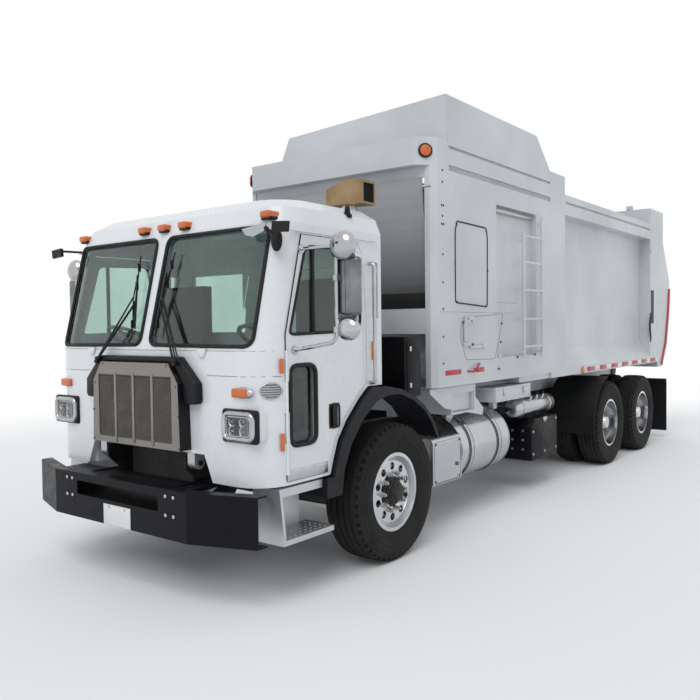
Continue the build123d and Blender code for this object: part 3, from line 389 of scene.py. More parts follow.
class Finishes:
    """Every finish on the truck."""

    WHITE = Finish("cab_white", (0.70, 0.735, 0.76), "white_paint", roughness=0.28, coat=0.5,
                   blotch=0.02, bump=0.02, dust=0.12, dust_top=0.25)
    BODY_WHITE = Finish("body_white", (0.55, 0.58, 0.605), "white_paint", roughness=0.42, coat=0.15,
                        blotch=0.09, blotch_scale=0.9, bump=0.05, dust=0.2, dust_top=1.6)
    # Body white darkened as painted shade, for the packer's sheet and the groove floors that sit in
    # shade.
    BODY_WHITE_PAINTED_SHADE = Finish("body_white_painted_shade", (0.36, 0.375, 0.385), "white_paint", roughness=0.38,
                        blotch=0.08, spread=0.12, bump=0.05)
    FRAME_BLACK = Finish("frame_black", (0.009, 0.0095, 0.011), "chassis_black", roughness=0.5,
                         blotch=0.25, dust=0.12, dust_top=1.0, specular=0.25)
    BUMPER_BLACK = Finish("bumper_black", (0.003, 0.0032, 0.005), "bumper_black", roughness=0.4,
                          blotch=0.2, dust=0.012, dust_top=0.5, specular=0.16)
    STAINLESS = Finish("grille_stainless", (0.235, 0.225, 0.215), "stainless", Grain.BRUSHED_UP,
                       metallic=1.0, roughness=0.3, grain_scale=700.0, bump=0.08)
    MESH_DARK = Finish("grille_mesh", (0.10, 0.096, 0.092), "stainless", Grain.PLAIN, metallic=0.9,
                       roughness=0.4)
    CHROME = Finish("polished_chrome", (0.46, 0.47, 0.485), "chrome", Grain.PLAIN, metallic=1.0,
                    roughness=0.09, spread=0.04, blotch=0.12, blotch_scale=5.0, bump=0.01)
    # Chrome darkened as painted shade, a shaded copy of the bright chrome, used for the mirror
    # head.
    CHROME_PAINTED_SHADE = Finish("chrome_painted_shade", (0.20, 0.205, 0.21), "chrome", Grain.PLAIN, metallic=1.0,
                         roughness=0.14, spread=0.08, blotch=0.3, blotch_scale=4.0, bump=0.01)
    MIRROR = Finish("mirror_glass", (0.45, 0.48, 0.49), "glass", Grain.PLAIN, metallic=1.0,
                    roughness=0.03, spread=0.01, bump=0.0)
    HOSE = Finish("hose_rubber", (0.010, 0.010, 0.011), "trim_black", Grain.RUBBER, roughness=0.5,
                  bump=0.15, specular=0.3)
    TAIL_RED = Finish("tail_lens", (0.50, 0.012, 0.015), "red", Grain.FLUTED, roughness=0.15,
                      bump=0.3, coat=0.5, emission=0.05)
    DARK_STEEL = Finish("dark_steel", (0.13, 0.13, 0.135), "chrome", Grain.PLAIN, metallic=0.9,
                        roughness=0.4)
    TANK = Finish("tank_aluminium", (0.50, 0.51, 0.53), "tank_aluminium", Grain.PLAIN, metallic=1.0,
                  roughness=0.26, spread=0.04, blotch=0.06, blotch_scale=2.5, bump=0.01)
    STEP = Finish("step_aluminium", (0.55, 0.56, 0.58), "tank_aluminium", Grain.BRUSHED_ACROSS,
                  metallic=0.9, roughness=0.42, bump=0.1, dust=0.2)
    WHEEL = Finish("wheel_aluminium", (0.62, 0.63, 0.65), "wheel_aluminium", Grain.PLAIN,
                   metallic=1.0, roughness=0.2, spread=0.05, dust=0.04, dust_top=1.0)
    CAST = Finish("painted_casting", (0.018, 0.018, 0.019), "cast_black", Grain.CAST,
                  roughness=0.6, blotch=0.25, bump=0.5, dust=0.2, dust_top=1.0, specular=0.3)
    TYRE = Finish("tyre_rubber", (0.010, 0.010, 0.0105), "tyre", Grain.RUBBER, roughness=0.78,
                  blotch=0.25, bump=0.25, dust=0.06, dust_top=1.0, specular=0.2)
    FLARE = Finish("flare_plastic", (0.005, 0.0055, 0.008), "flare_plastic", Grain.MOULD,
                   roughness=0.46, bump=0.12, grain_scale=500.0, dust=0.05, dust_top=1.0,
                   specular=0.25)
    TRIM = Finish("trim_plastic", (0.007, 0.007, 0.008), "trim_black", Grain.MOULD, roughness=0.5,
                  bump=0.15, grain_scale=600.0, specular=0.25)
    GASKET = Finish("rubber_gasket", (0.012, 0.012, 0.013), "trim_black", Grain.RUBBER,
                    roughness=0.55, bump=0.1, specular=0.25)
    GLASS = Finish("green_glass", (0.60, 0.74, 0.69), "glass", Grain.PLAIN, roughness=0.03,
                   spread=0.01, bump=0.0, glass=1.0)
    LENS = Finish("clear_lens", (0.93, 0.95, 0.96), "lamp_chrome", Grain.FLUTED, roughness=0.05,
                  spread=0.02, bump=0.25, glass=1.0)
    AMBER = Finish("amber_lens", (0.60, 0.115, 0.006), "amber", Grain.FLUTED, roughness=0.16,
                   bump=0.3, coat=0.5, emission=0.03)
    RED = Finish("red_enamel", (0.42, 0.02, 0.028), "red", roughness=0.35, blotch=0.12)
    RED_TAPE = Finish("red_tape", (0.46, 0.025, 0.05), "red", Grain.TAPE, roughness=0.35, bump=0.2)
    WHITE_TAPE = Finish("white_tape", (0.74, 0.75, 0.76), "white_paint", Grain.TAPE, roughness=0.3,
                        bump=0.2)
    SEAT = Finish("seat_cloth", (0.09, 0.095, 0.10), "seat_cloth", Grain.WEAVE, roughness=0.9,
                  bump=0.4)
    INTERIOR = Finish("cab_plastic", (0.16, 0.165, 0.17), "interior_grey", Grain.MOULD,
                      roughness=0.6, bump=0.2)
    TAN = Finish("heat_tinted_steel", (0.42, 0.30, 0.17), "tan_steel", Grain.HEAT, metallic=0.85,
                 roughness=0.38, blotch=0.2, bump=0.08)
    BARE = Finish("bright_steel", (0.5, 0.5, 0.5), "chrome", Grain.PLAIN, metallic=1.0,
                  roughness=0.35, spread=0.1)
    PLATE = Finish("plate_white", (0.72, 0.73, 0.73), "white_paint", Grain.PEEL, roughness=0.35,
                   bump=0.03)


NODE_FINISH: dict[str, Finish] = {
    "tyre": Finishes.TYRE,
    "wheel_aluminium": Finishes.WHEEL,
    "cast_black": Finishes.CAST,
    "chassis_black": Finishes.FRAME_BLACK,
    "bumper_black": Finishes.BUMPER_BLACK,
    "flare_plastic": Finishes.FLARE,
    "tank_aluminium": Finishes.TANK,
    "tan_steel": Finishes.TAN,
    "trim_black": Finishes.TRIM,
    "white_paint": Finishes.BODY_WHITE,
    "glass": Finishes.GLASS,
    "chrome": Finishes.CHROME,
    "stainless": Finishes.STAINLESS,
    "lamp_chrome": Finishes.CHROME,
    "seat_cloth": Finishes.SEAT,
    "interior_grey": Finishes.INTERIOR,
    "amber": Finishes.AMBER,
    "red": Finishes.RED,
}
NODE_OWN_FINISH: dict[str, Finish] = {
    "cab_shell": Finishes.WHITE,
    "door_left": Finishes.WHITE,
    "door_right": Finishes.WHITE,
    "steps": Finishes.STEP,
    # Painted shade: the packer's sheet takes the darkened body white because it sits in shade under
    # the header.
    "packer": Finishes.BODY_WHITE_PAINTED_SHADE,
    "tilt_brackets": Finishes.STEP,
}
DRESSER = Dresser()


class Metalwork:
    """A mesh in the making, at stations."""

    def __init__(self) -> None:
        """Start empty."""
        self.bm = bmesh.new()

    def _round(self, verts: Iterable[bmesh.types.BMVert], width: float, segments: int) -> None:
        """Bevel every edge of the given vertices."""
        edges = list(dict.fromkeys(edge for vert in verts for edge in vert.link_edges))
        bmesh.ops.bevel(
            self.bm, geom=edges, offset=width, segments=segments, profile=0.5,
            affect="EDGES", material=-1, clamp_overlap=True,
        )

    def box(self, low: Point, high: Point, edge: float = 0.0, segments: int = 2) -> "Metalwork":
        """Add a box between two corners.

        Args:
            low: Lowest corner.
            high: Highest corner.
            edge: Width of its rounded edges.
            segments: Steps across each edge.

        Returns:
            This mesh.
        """
        verts = bmesh.ops.create_cube(self.bm, size=1.0)["verts"]
        size = [h - l for l, h in zip(low, high)]
        bmesh.ops.scale(self.bm, vec=size, verts=verts)
        middle = [(h + l) / 2 for l, h in zip(low, high)]
        bmesh.ops.translate(self.bm, vec=middle, verts=verts)
        if edge:
            self._round(verts, edge, segments)
        return self

    def plate(
        self, outline: Sequence[Flat], run: Run, start: float, end: float, edge: float = 0.0,
        segments: int = 2,
    ) -> "Metalwork":
        """Add an outline extruded along an axis.

        Args:
            outline: Corners on the other two axes, in their order.
            run: Axis to extrude along.
            start: Place of the first face.
            end: Place of the last face.
            edge: Width of its rounded edges.
            segments: Steps across each edge.

        Returns:
            This mesh.
        """
        corners = []
        for a, b in outline:
            point = [a, b]
            point.insert(run.value, start)
            corners.append(self.bm.verts.new(point))
        face = self.bm.faces.new(corners)
        grown = bmesh.ops.extrude_face_region(self.bm, geom=[face])["geom"]
        moved = [item for item in grown if isinstance(item, bmesh.types.BMVert)]
        step = [0.0, 0.0, 0.0]
        step[run.value] = end - start
        bmesh.ops.translate(self.bm, vec=step, verts=moved)
        faces = list(dict.fromkeys(f for v in corners + moved for f in v.link_faces))
        bmesh.ops.recalc_face_normals(self.bm, faces=faces)
        if edge:
            self._round(corners + moved, edge, segments)
        return self

    def rod(
        self, start: Point, end: Point, radius: float, sides: int = 16, edge: float = 0.0,
        tip: Optional[float] = None,
    ) -> "Metalwork":
        """Add a round bar, or a hexagon nut with six sides.

        Args:
            start: Centre of the first end.
            end: Centre of the last end.
            radius: Radius at the start.
            sides: Number of sides.
            edge: Width of its rounded edges.
            tip: Radius at the end, if it tapers.

        Returns:
            This mesh.
        """
        a, b = Vector(start), Vector(end)
        turn = (b - a).to_track_quat("Z", "Y").to_matrix().to_4x4()
        place = Matrix.Translation((a + b) / 2) @ turn
        verts = bmesh.ops.create_cone(
            self.bm, cap_ends=True, segments=sides, radius1=radius,
            radius2=radius if tip is None else tip, depth=(b - a).length, matrix=place,
        )["verts"]
        if edge:
            along = (b - a).normalized()
            ends = list(dict.fromkeys(
                e for v in verts for e in v.link_edges
                if abs((e.verts[0].co - e.verts[1].co).normalized().dot(along)) < 0.5
            ))
            bmesh.ops.bevel(
                self.bm, geom=ends, offset=edge, segments=2, profile=0.5, affect="EDGES",
                material=-1, clamp_overlap=True,
            )
        return self

    def ball(self, centre: Point, radius: float, stretch: Point = (1.0, 1.0, 1.0)) -> "Metalwork":
        """Add a sphere, stretched along the axes.

        Args:
            centre: Its centre.
            radius: Its radius before it is stretched.
            stretch: Factor along each axis.

        Returns:
            This mesh.
        """
        place = Matrix.Translation(centre) @ Matrix.Diagonal((*stretch, 1.0))
        bmesh.ops.create_uvsphere(
            self.bm, u_segments=24, v_segments=14, radius=radius, matrix=place
        )
        return self

    def turned(
        self, profile: Sequence[Flat], centre: Point, steps: int = 48, run: Run = Run.X,
        closed: bool = True,
    ) -> "Metalwork":
        """Add a profile spun fully about an axis through a centre.

        Args:
            profile: Points as distance along the axis and radius.
            centre: Where the distances start.
            steps: Faces round the turn.
            run: Axis of the turn.
            closed: Whether the profile's last point joins its first.

        Returns:
            This mesh.
        """
        along = [0.0, 0.0, 0.0]
        along[run.value] = 1.0
        out = Vector((0.0, 0.0, 1.0)) if run is not Run.Z else Vector((1.0, 0.0, 0.0))
        verts = [
            self.bm.verts.new(Vector(centre) + Vector(along) * place + out * radius)
            for place, radius in profile
        ]
        edges = [self.bm.edges.new(two) for two in zip(verts, verts[1:])]
        if closed:
            edges.append(self.bm.edges.new((verts[-1], verts[0])))
        before = set(self.bm.faces)
        bmesh.ops.spin(
            self.bm, geom=verts + edges, cent=centre, axis=along, dvec=(0.0, 0.0, 0.0),
            angle=2 * math.pi, steps=steps, use_merge=True, use_normal_flip=False,
            use_duplicate=False,
        )
        fresh = [face for face in self.bm.faces if face not in before]
        bmesh.ops.recalc_face_normals(self.bm, faces=fresh)
        return self

    def pipe(
        self, points: Sequence[Point], radius: float, bend: float = 0.0, closed: bool = False,
        sides: int = 4,
    ) -> "Metalwork":
        """Add a round tube along a path with rounded corners.

        Args:
            points: Corners of the path.
            radius: Radius of the tube.
            bend: Radius of its corners.
            closed: Whether the path returns to its start.
            sides: Quarter resolution of the tube's section.

        Returns:
            This mesh.
        """
        path = softened(points, bend, closed) if bend else [Vector(p) for p in points]
        curve = bpy.data.curves.new("path", "CURVE")
        curve.dimensions = "3D"
        curve.bevel_depth = radius
        curve.bevel_resolution = sides
        curve.use_fill_caps = True
        spline = curve.splines.new("POLY")
        spline.points.add(len(path) - 1)
        for slot, point in zip(spline.points, path):
            slot.co = (*point, 1.0)
        spline.use_cyclic_u = closed
        holder = bpy.data.objects.new("path", curve)
        mesh = bpy.data.meshes.new_from_object(holder)
        before = len(self.bm.verts)
        self.bm.from_mesh(mesh)
        self.bm.verts.ensure_lookup_table()
        bmesh.ops.remove_doubles(self.bm, verts=self.bm.verts[before:], dist=MERGE_GAP)
        bpy.data.objects.remove(holder)
        bpy.data.curves.remove(curve)
        bpy.data.meshes.remove(mesh)
        return self

    def bolt(
        self, seat: Point, way: Point, radius: float = 0.011, height: float = 0.008,
        sides: int = 6,
    ) -> "Metalwork":
        """Add a bolt head standing on a seat.

        Args:
            seat: Point on the surface.
            way: Unit vector out of the surface.
            radius: Radius of the head.
            height: Height of the head.
            sides: Six for a hexagon, more for a round head.

        Returns:
            This mesh.
        """
        base, out = Vector(seat), Vector(way)
        low, high = base - out * WASHER_HALF, base + out * WASHER_HALF
        self.rod(tuple(low), tuple(high), radius * WASHER_SHARE, 16)
        top = tuple(base + out * height)
        self.rod(tuple(base), top, radius, sides, edge=radius * BOLT_EDGE_SHARE)
        return self

    def flip(self) -> "Metalwork":
        """Turn the whole mesh into its mirror image on the other side."""
        bmesh.ops.scale(self.bm, vec=(-1.0, 1.0, 1.0), verts=self.bm.verts[:])
        bmesh.ops.reverse_faces(self.bm, faces=self.bm.faces[:])
        return self

    def both(self) -> "Metalwork":
        """Add the mirror image of everything so far."""
        geometry = self.bm.verts[:] + self.bm.edges[:] + self.bm.faces[:]
        copy = bmesh.ops.duplicate(self.bm, geom=geometry)["geom"]
        verts = [item for item in copy if isinstance(item, bmesh.types.BMVert)]
        faces = [item for item in copy if isinstance(item, bmesh.types.BMFace)]
        bmesh.ops.scale(self.bm, vec=(-1.0, 1.0, 1.0), verts=verts)
        bmesh.ops.reverse_faces(self.bm, faces=faces)
        return self

    def on(self, side: Side) -> "Metalwork":
        """Keep the mesh on the left, or flip it to the right."""
        return self.flip() if side is Side.RIGHT else self

    def done(
        self, name: str, body: str, finish: Finish, replaces: Sequence[str] = (),
        smooth: float = 35.0,
    ) -> bpy.types.Object:
        """Finish the piece: place it, dress it and let it ride.

        Args:
            name: Name of the piece.
            body: Body that it rides on.
            finish: Its finish.
            replaces: CAD nodes that it stands for.
            smooth: Angle in degrees above which an edge stays sharp.

        Returns:
            The object.
        """
        bmesh.ops.translate(self.bm, vec=STATION_SHIFT, verts=self.bm.verts[:])
        mesh = bpy.data.meshes.new(name)
        self.bm.to_mesh(mesh)
        self.bm.free()
        mesh.polygons.foreach_set("use_smooth", [True] * len(mesh.polygons))
        mesh.set_sharp_from_angle(angle=math.radians(smooth))
        mesh.materials.append(DRESSER.material(finish))
        piece = bpy.data.objects.new(name, mesh)
        bpy.context.scene.collection.objects.link(piece)
        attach(piece, body)
        if replaces:
            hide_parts(*replaces)
        LOG.info("%s: %d faces on %s", name, len(mesh.polygons), body)
        return piece


def softened(points: Sequence[Point], bend: float, closed: bool) -> list[Vector]:
    """Path with each corner rounded by short chords.

    Args:
        points: Corners of the path.
        bend: Distance from a corner at which its curve starts.
        closed: Whether the first and last points are corners too.

    Returns:
        The points of the rounded path.
    """
    corners = [Vector(p) for p in points]
    count = len(corners)
    path: list[Vector] = []
    for i, corner in enumerate(corners):
        if not closed and i in (0, count - 1):
            path.append(corner)
            continue
        before, after = corners[i - 1], corners[(i + 1) % count]
        reach = min(bend, (before - corner).length * 0.48, (after - corner).length * 0.48)
        start = corner + (before - corner).normalized() * reach
        end = corner + (after - corner).normalized() * reach
        for k in range(CORNER_STEPS + 1):
            t = k / CORNER_STEPS
            path.append(start * (1 - t) ** 2 + corner * 2 * t * (1 - t) + end * t * t)
    return path


def ringed(outline: Sequence[Flat], run: Run, at: float) -> list[Point]:
    """Flat outline as 3-D points on a plane across an axis.

    Args:
        outline: Places on the other two axes, in their order.
        run: The axis.
        at: Place of the plane on it.

    Returns:
        The points.
    """
    ring = []
    for a, b in outline:
        point = [a, b]
        point.insert(run.value, at)
        ring.append(tuple(point))
    return ring


@dataclass
class Studio:
    """Floor, light and camera."""

    eye: Point = (4.428, -7.9096, 1.7902)
    yaw: float = 37.638
    pitch: float = -1.803
    roll: float = -0.6614
    lens: float = 38.702
    sensor: float = 36.0
    floor_half: float = 60.0
    fade_start: float = 7.0
    fade_end: float = 11.0
    world_strength: float = 0.62
    sun_strength: float = 1.15
    sun_spread: float = 40.0
    sun_way: Point = (-0.25, 0.75, -1.0)

    def build(self) -> None:
        """Make the stage, the lamps and the camera."""
        self.make_camera()
        self.make_floor()
        self.make_world()
        self.make_lamps()
        scene = bpy.context.scene
        scene.view_settings.view_transform = "Standard"

    def make_camera(self) -> None:
        """Camera at the photograph's place, angle and frame."""
        data = bpy.data.cameras.new("camera")
        data.lens = self.lens
        data.sensor_width = self.sensor
        data.clip_end = 300.0
        camera = bpy.data.objects.new("camera", data)
        camera.location = self.eye
        turn = (
            Matrix.Rotation(math.radians(self.yaw), 3, "Z")
            @ Matrix.Rotation(math.radians(90.0 + self.pitch), 3, "X")
            @ Matrix.Rotation(math.radians(self.roll), 3, "Z")
        )
        camera.rotation_euler = turn.to_euler()
        bpy.context.scene.collection.objects.link(camera)
        bpy.context.scene.camera = camera

    def make_floor(self) -> None:
        """Pale floor that fades to plain white far away."""
        bm = bmesh.new()
        bmesh.ops.create_grid(bm, x_segments=2, y_segments=2, size=self.floor_half)
        mesh = bpy.data.meshes.new("floor")
        bm.to_mesh(mesh)
        bm.free()
        material = bpy.data.materials.new("pale_floor")
        material.use_nodes = True
        nodes, links = material.node_tree.nodes, material.node_tree.links
        shader = nodes["Principled BSDF"]
        shader.inputs["Base Color"].default_value = (0.93, 0.93, 0.93, 1.0)
        shader.inputs["Roughness"].default_value = 0.85
        glow = nodes.new("ShaderNodeEmission")
        glow.inputs["Color"].default_value = (1.0, 1.0, 1.0, 1.0)
        place = nodes.new("ShaderNodeTexCoord")
        far = nodes.new("ShaderNodeVectorMath")
        far.operation = "LENGTH"
        links.new(place.outputs["Object"], far.inputs[0])
        fade = nodes.new("ShaderNodeMapRange")
        fade.inputs["From Min"].default_value = self.fade_start
        fade.inputs["From Max"].default_value = self.fade_end
        links.new(far.outputs["Value"], fade.inputs["Value"])
        mix = nodes.new("ShaderNodeMixShader")
        links.new(fade.outputs["Result"], mix.inputs[0])
        links.new(shader.outputs[0], mix.inputs[1])
        links.new(glow.outputs[0], mix.inputs[2])
        links.new(mix.outputs[0], nodes["Material Output"].inputs["Surface"])
        mesh.materials.append(material)
        floor = bpy.data.objects.new("floor", mesh)
        bpy.context.scene.collection.objects.link(floor)

    def make_world(self) -> None:
        """White background, with plainer light on the truck."""
        world = bpy.data.worlds.new("studio")
        bpy.context.scene.world = world
        world.use_nodes = True
        nodes, links = world.node_tree.nodes, world.node_tree.links
        light = nodes["Background"]
        light.inputs["Color"].default_value = (0.93, 0.97, 1.0, 1.0)
        light.inputs["Strength"].default_value = self.world_strength
        backdrop = nodes.new("ShaderNodeBackground")
        backdrop.inputs["Color"].default_value = (1.0, 1.0, 1.0, 1.0)
        path = nodes.new("ShaderNodeLightPath")
        seen = path.outputs["Is Camera Ray"]
        for name in ("Is Glossy Ray", "Is Transmission Ray"):
            either = nodes.new("ShaderNodeMath")
            either.operation = "MAXIMUM"
            links.new(seen, either.inputs[0])
            links.new(path.outputs[name], either.inputs[1])
            seen = either.outputs[0]
        mix = nodes.new("ShaderNodeMixShader")
        links.new(seen, mix.inputs[0])
        links.new(light.outputs[0], mix.inputs[1])
        links.new(backdrop.outputs[0], mix.inputs[2])
        links.new(mix.outputs[0], nodes["World Output"].inputs["Surface"])

    def make_lamps(self) -> None:
        """One broad soft sun from the front left."""
        data = bpy.data.lights.new("key", "SUN")
        data.energy = self.sun_strength
        data.angle = math.radians(self.sun_spread)
        lamp = bpy.data.objects.new("key", data)
        lamp.rotation_euler = Vector(self.sun_way).to_track_quat("-Z", "Y").to_euler()
        bpy.context.scene.collection.objects.link(lamp)


@dataclass
class Tyre:
    """Tyre with ribs, grooves and notched shoulders."""

    name: str
    body: str
    replaces: tuple[str, ...]
    centres: tuple[Point, ...]
    width: float
    bead: float
    steps: int = 96
    seat_r: float = 0.2848
    tread_r: float = 0.525
    groove_depth: float = 0.014
    groove_half: float = 0.0055
    notch_depth: float = 0.009
    notch_rim: float = 0.004
    shoulder_r: float = 0.50

    def half_profile(self) -> list[Flat]:
        """Outer half of the section, from the bead over the sidewall to the middle rib."""
        h, b = self.width / 2, self.bead
        side = [
            (b - 0.0123, self.seat_r), (b - 0.008, 0.2995), (b + 0.004, 0.3015),
            (b + 0.010, 0.306), (b + 0.012, 0.316), (h - 0.010, 0.352), (h - 0.002, 0.380),
            (h - 0.0015, 0.392), (h, 0.394), (h, 0.402), (h - 0.0015, 0.404), (h - 0.001, 0.436),
            (h, 0.438), (h, 0.443), (h - 0.002, 0.446), (h - 0.005, 0.470),
            (h * 0.93, 0.497), (h * 0.88, 0.512), (h * 0.82, 0.5185),
        ]
        for place in (0.52, 0.17):
            x, r = h * place, self.tread_r - 0.004 * place
            side += [
                (x + self.groove_half, r), (x + self.groove_half * 0.6, r - self.groove_depth),
                (x - self.groove_half * 0.6, r - self.groove_depth), (x - self.groove_half, r),
            ]
        return side

    def build(self) -> None:
        """Make the tyre or the twin tyres as one piece."""
        work = Metalwork()
        for centre in self.centres:
            half = self.half_profile()
            whole = half + [(-x, r) for x, r in reversed(half)]
            work.turned(whole, centre, self.steps)
            self.notch(work.bm, centre)
        work.done(self.name, self.body, Finishes.TYRE, self.replaces, smooth=50.0)

    def notch(self, bm: bmesh.types.BMesh, centre: Point) -> None:
        """Sink every other face round both shoulders.

        Args:
            bm: The mesh with the tyre in it.
            centre: The tyre's centre.
        """
        h = self.width / 2
        shoulders = []
        for face in bm.faces:
            middle = face.calc_center_median() - Vector(centre)
            radius = math.hypot(middle.y, middle.z)
            if radius < self.shoulder_r:
                continue
            turn = math.atan2(middle.z, middle.y) / (2 * math.pi) * self.steps
            if int(math.floor(turn)) % 2 == 0 and h * 0.83 < abs(middle.x) < h * 0.92:
                shoulders.append(face)
        if shoulders:
            bmesh.ops.inset_individual(
                bm, faces=shoulders, thickness=self.notch_rim, depth=-self.notch_depth
            )


@dataclass
class WheelFace:
    """Nuts and hub on a wheel's outer face."""

    name: str
    body: str
    side: Side
    station: float
    seat_x: float
    pitch_r: float = 0.143
    hub_r: float = 0.068
    hub_length: float = 0.075
    nuts: int = 10
    studs: int = 8
    stud_out: float = 0.028

    def round_axle(self, radius: float, turn: float) -> Flat:
        """Station and height of a place round the axle."""
        return (
            self.station + radius * math.cos(turn), HUB_HEIGHT + radius * math.sin(turn)
        )

    def build(self) -> None:
        """Make the wheel nuts and the hub with its studs."""
        x = self.seat_x
        nuts = Metalwork()
        for i in range(self.nuts):
            y, z = self.round_axle(self.pitch_r, 2 * math.pi * i / self.nuts)
            nuts.rod((x - 0.003, y, z), (x + 0.006, y, z), 0.021, 20, edge=0.001)
            nuts.rod((x + 0.004, y, z), (x + 0.030, y, z), 0.0175, 6, edge=0.0015)
            nuts.rod((x + 0.028, y, z), (x + 0.046, y, z), 0.0105, 12, edge=0.0015)
        nuts.on(self.side).done(f"{self.name}_nuts", self.body, Finishes.BARE)
        hub = Metalwork()
        r, length = self.hub_r, self.hub_length
        hub.turned([
            (-0.02, 0.0), (-0.02, r + 0.048), (0.004, r + 0.048), (0.008, r + 0.040),
            (0.008, r + 0.006), (length * 0.45, r), (length * 0.5, r + 0.010),
            (length * 0.62, r + 0.010), (length * 0.66, r - 0.004), (length * 0.95, r - 0.010),
            (length, r - 0.018), (length, 0.0),
        ], (x, self.station, HUB_HEIGHT), 40, closed=False)
        for i in range(self.studs):
            y, z = self.round_axle(r + self.stud_out, 2 * math.pi * (i + 0.5) / self.studs)
            hub.rod((x + 0.006, y, z), (x + 0.020, y, z), 0.009, 6, edge=0.001)
        hub.on(self.side).done(f"{self.name}_hub", self.body, Finishes.CAST)


@dataclass
class Wheels:
    """All tyres and wheel faces."""

    front_x: float = 1.080
    outer_x: float = 1.083
    inner_x: float = 0.740
    front_y: float = 1.643
    rear_ys: tuple[float, float] = (6.532, 7.875)
    front_width: float = 0.315
    front_bead: float = 0.1285
    front_dish: float = 0.029
    rear_width: float = 0.275
    rear_bead: float = 0.118
    rear_web_out: float = 0.022
    rear_hub_r: float = 0.085
    rear_hub_length: float = 0.18

    def build(self) -> None:
        """Make every tyre and wheel face."""
        for side in Side:
            s, word = side.value, side.word
            Tyre(
                f"front_{word}_tread", f"front_wheel_{word}", (f"front_tyre_{word}",),
                ((s * self.front_x, self.front_y, HUB_HEIGHT),), self.front_width,
                self.front_bead,
            ).build()
            WheelFace(
                f"front_{word}", f"front_wheel_{word}", side, self.front_y,
                self.front_x + self.front_bead - self.front_dish,
            ).build()
            for number, y in enumerate(self.rear_ys, 1):
                body = f"drive{number}_wheels_{word}"
                pair = tuple((s * x, y, HUB_HEIGHT) for x in (self.outer_x, self.inner_x))
                Tyre(
                    f"drive{number}_{word}_treads", body, (f"drive{number}_tyres_{word}",),
                    pair, self.rear_width, self.rear_bead,
                ).build()
                WheelFace(
                    f"drive{number}_{word}", body, side, y,
                    (self.outer_x + self.inner_x) / 2 + self.rear_web_out,
                    hub_r=self.rear_hub_r, hub_length=self.rear_hub_length,
                ).build()


@dataclass
class CabSkin:
    """Where the cab's outer skin is."""

    half: float = 1.165
    corner: float = 0.240
    front: float = 0.262
    foot: float = 1.640
    head: float = 2.470
    head_y: float = 0.465

    def station(self, x: float, z: float) -> float:
        """Station of the skin's front at a place.

        Args:
            x: Distance from the middle.
            z: Height.

        Returns:
            The station, behind the corner's curve where x is out there.
        """
        lean = min(max((z - self.foot) / (self.head - self.foot), 0.0), 1.0)
        y = self.front + (self.head_y - self.front) * lean
        out = abs(x) - (self.half - self.corner)
        if out > 0:
            out = min(out, self.corner * 0.999)
            y += self.corner - math.sqrt(self.corner**2 - out**2)
        return y


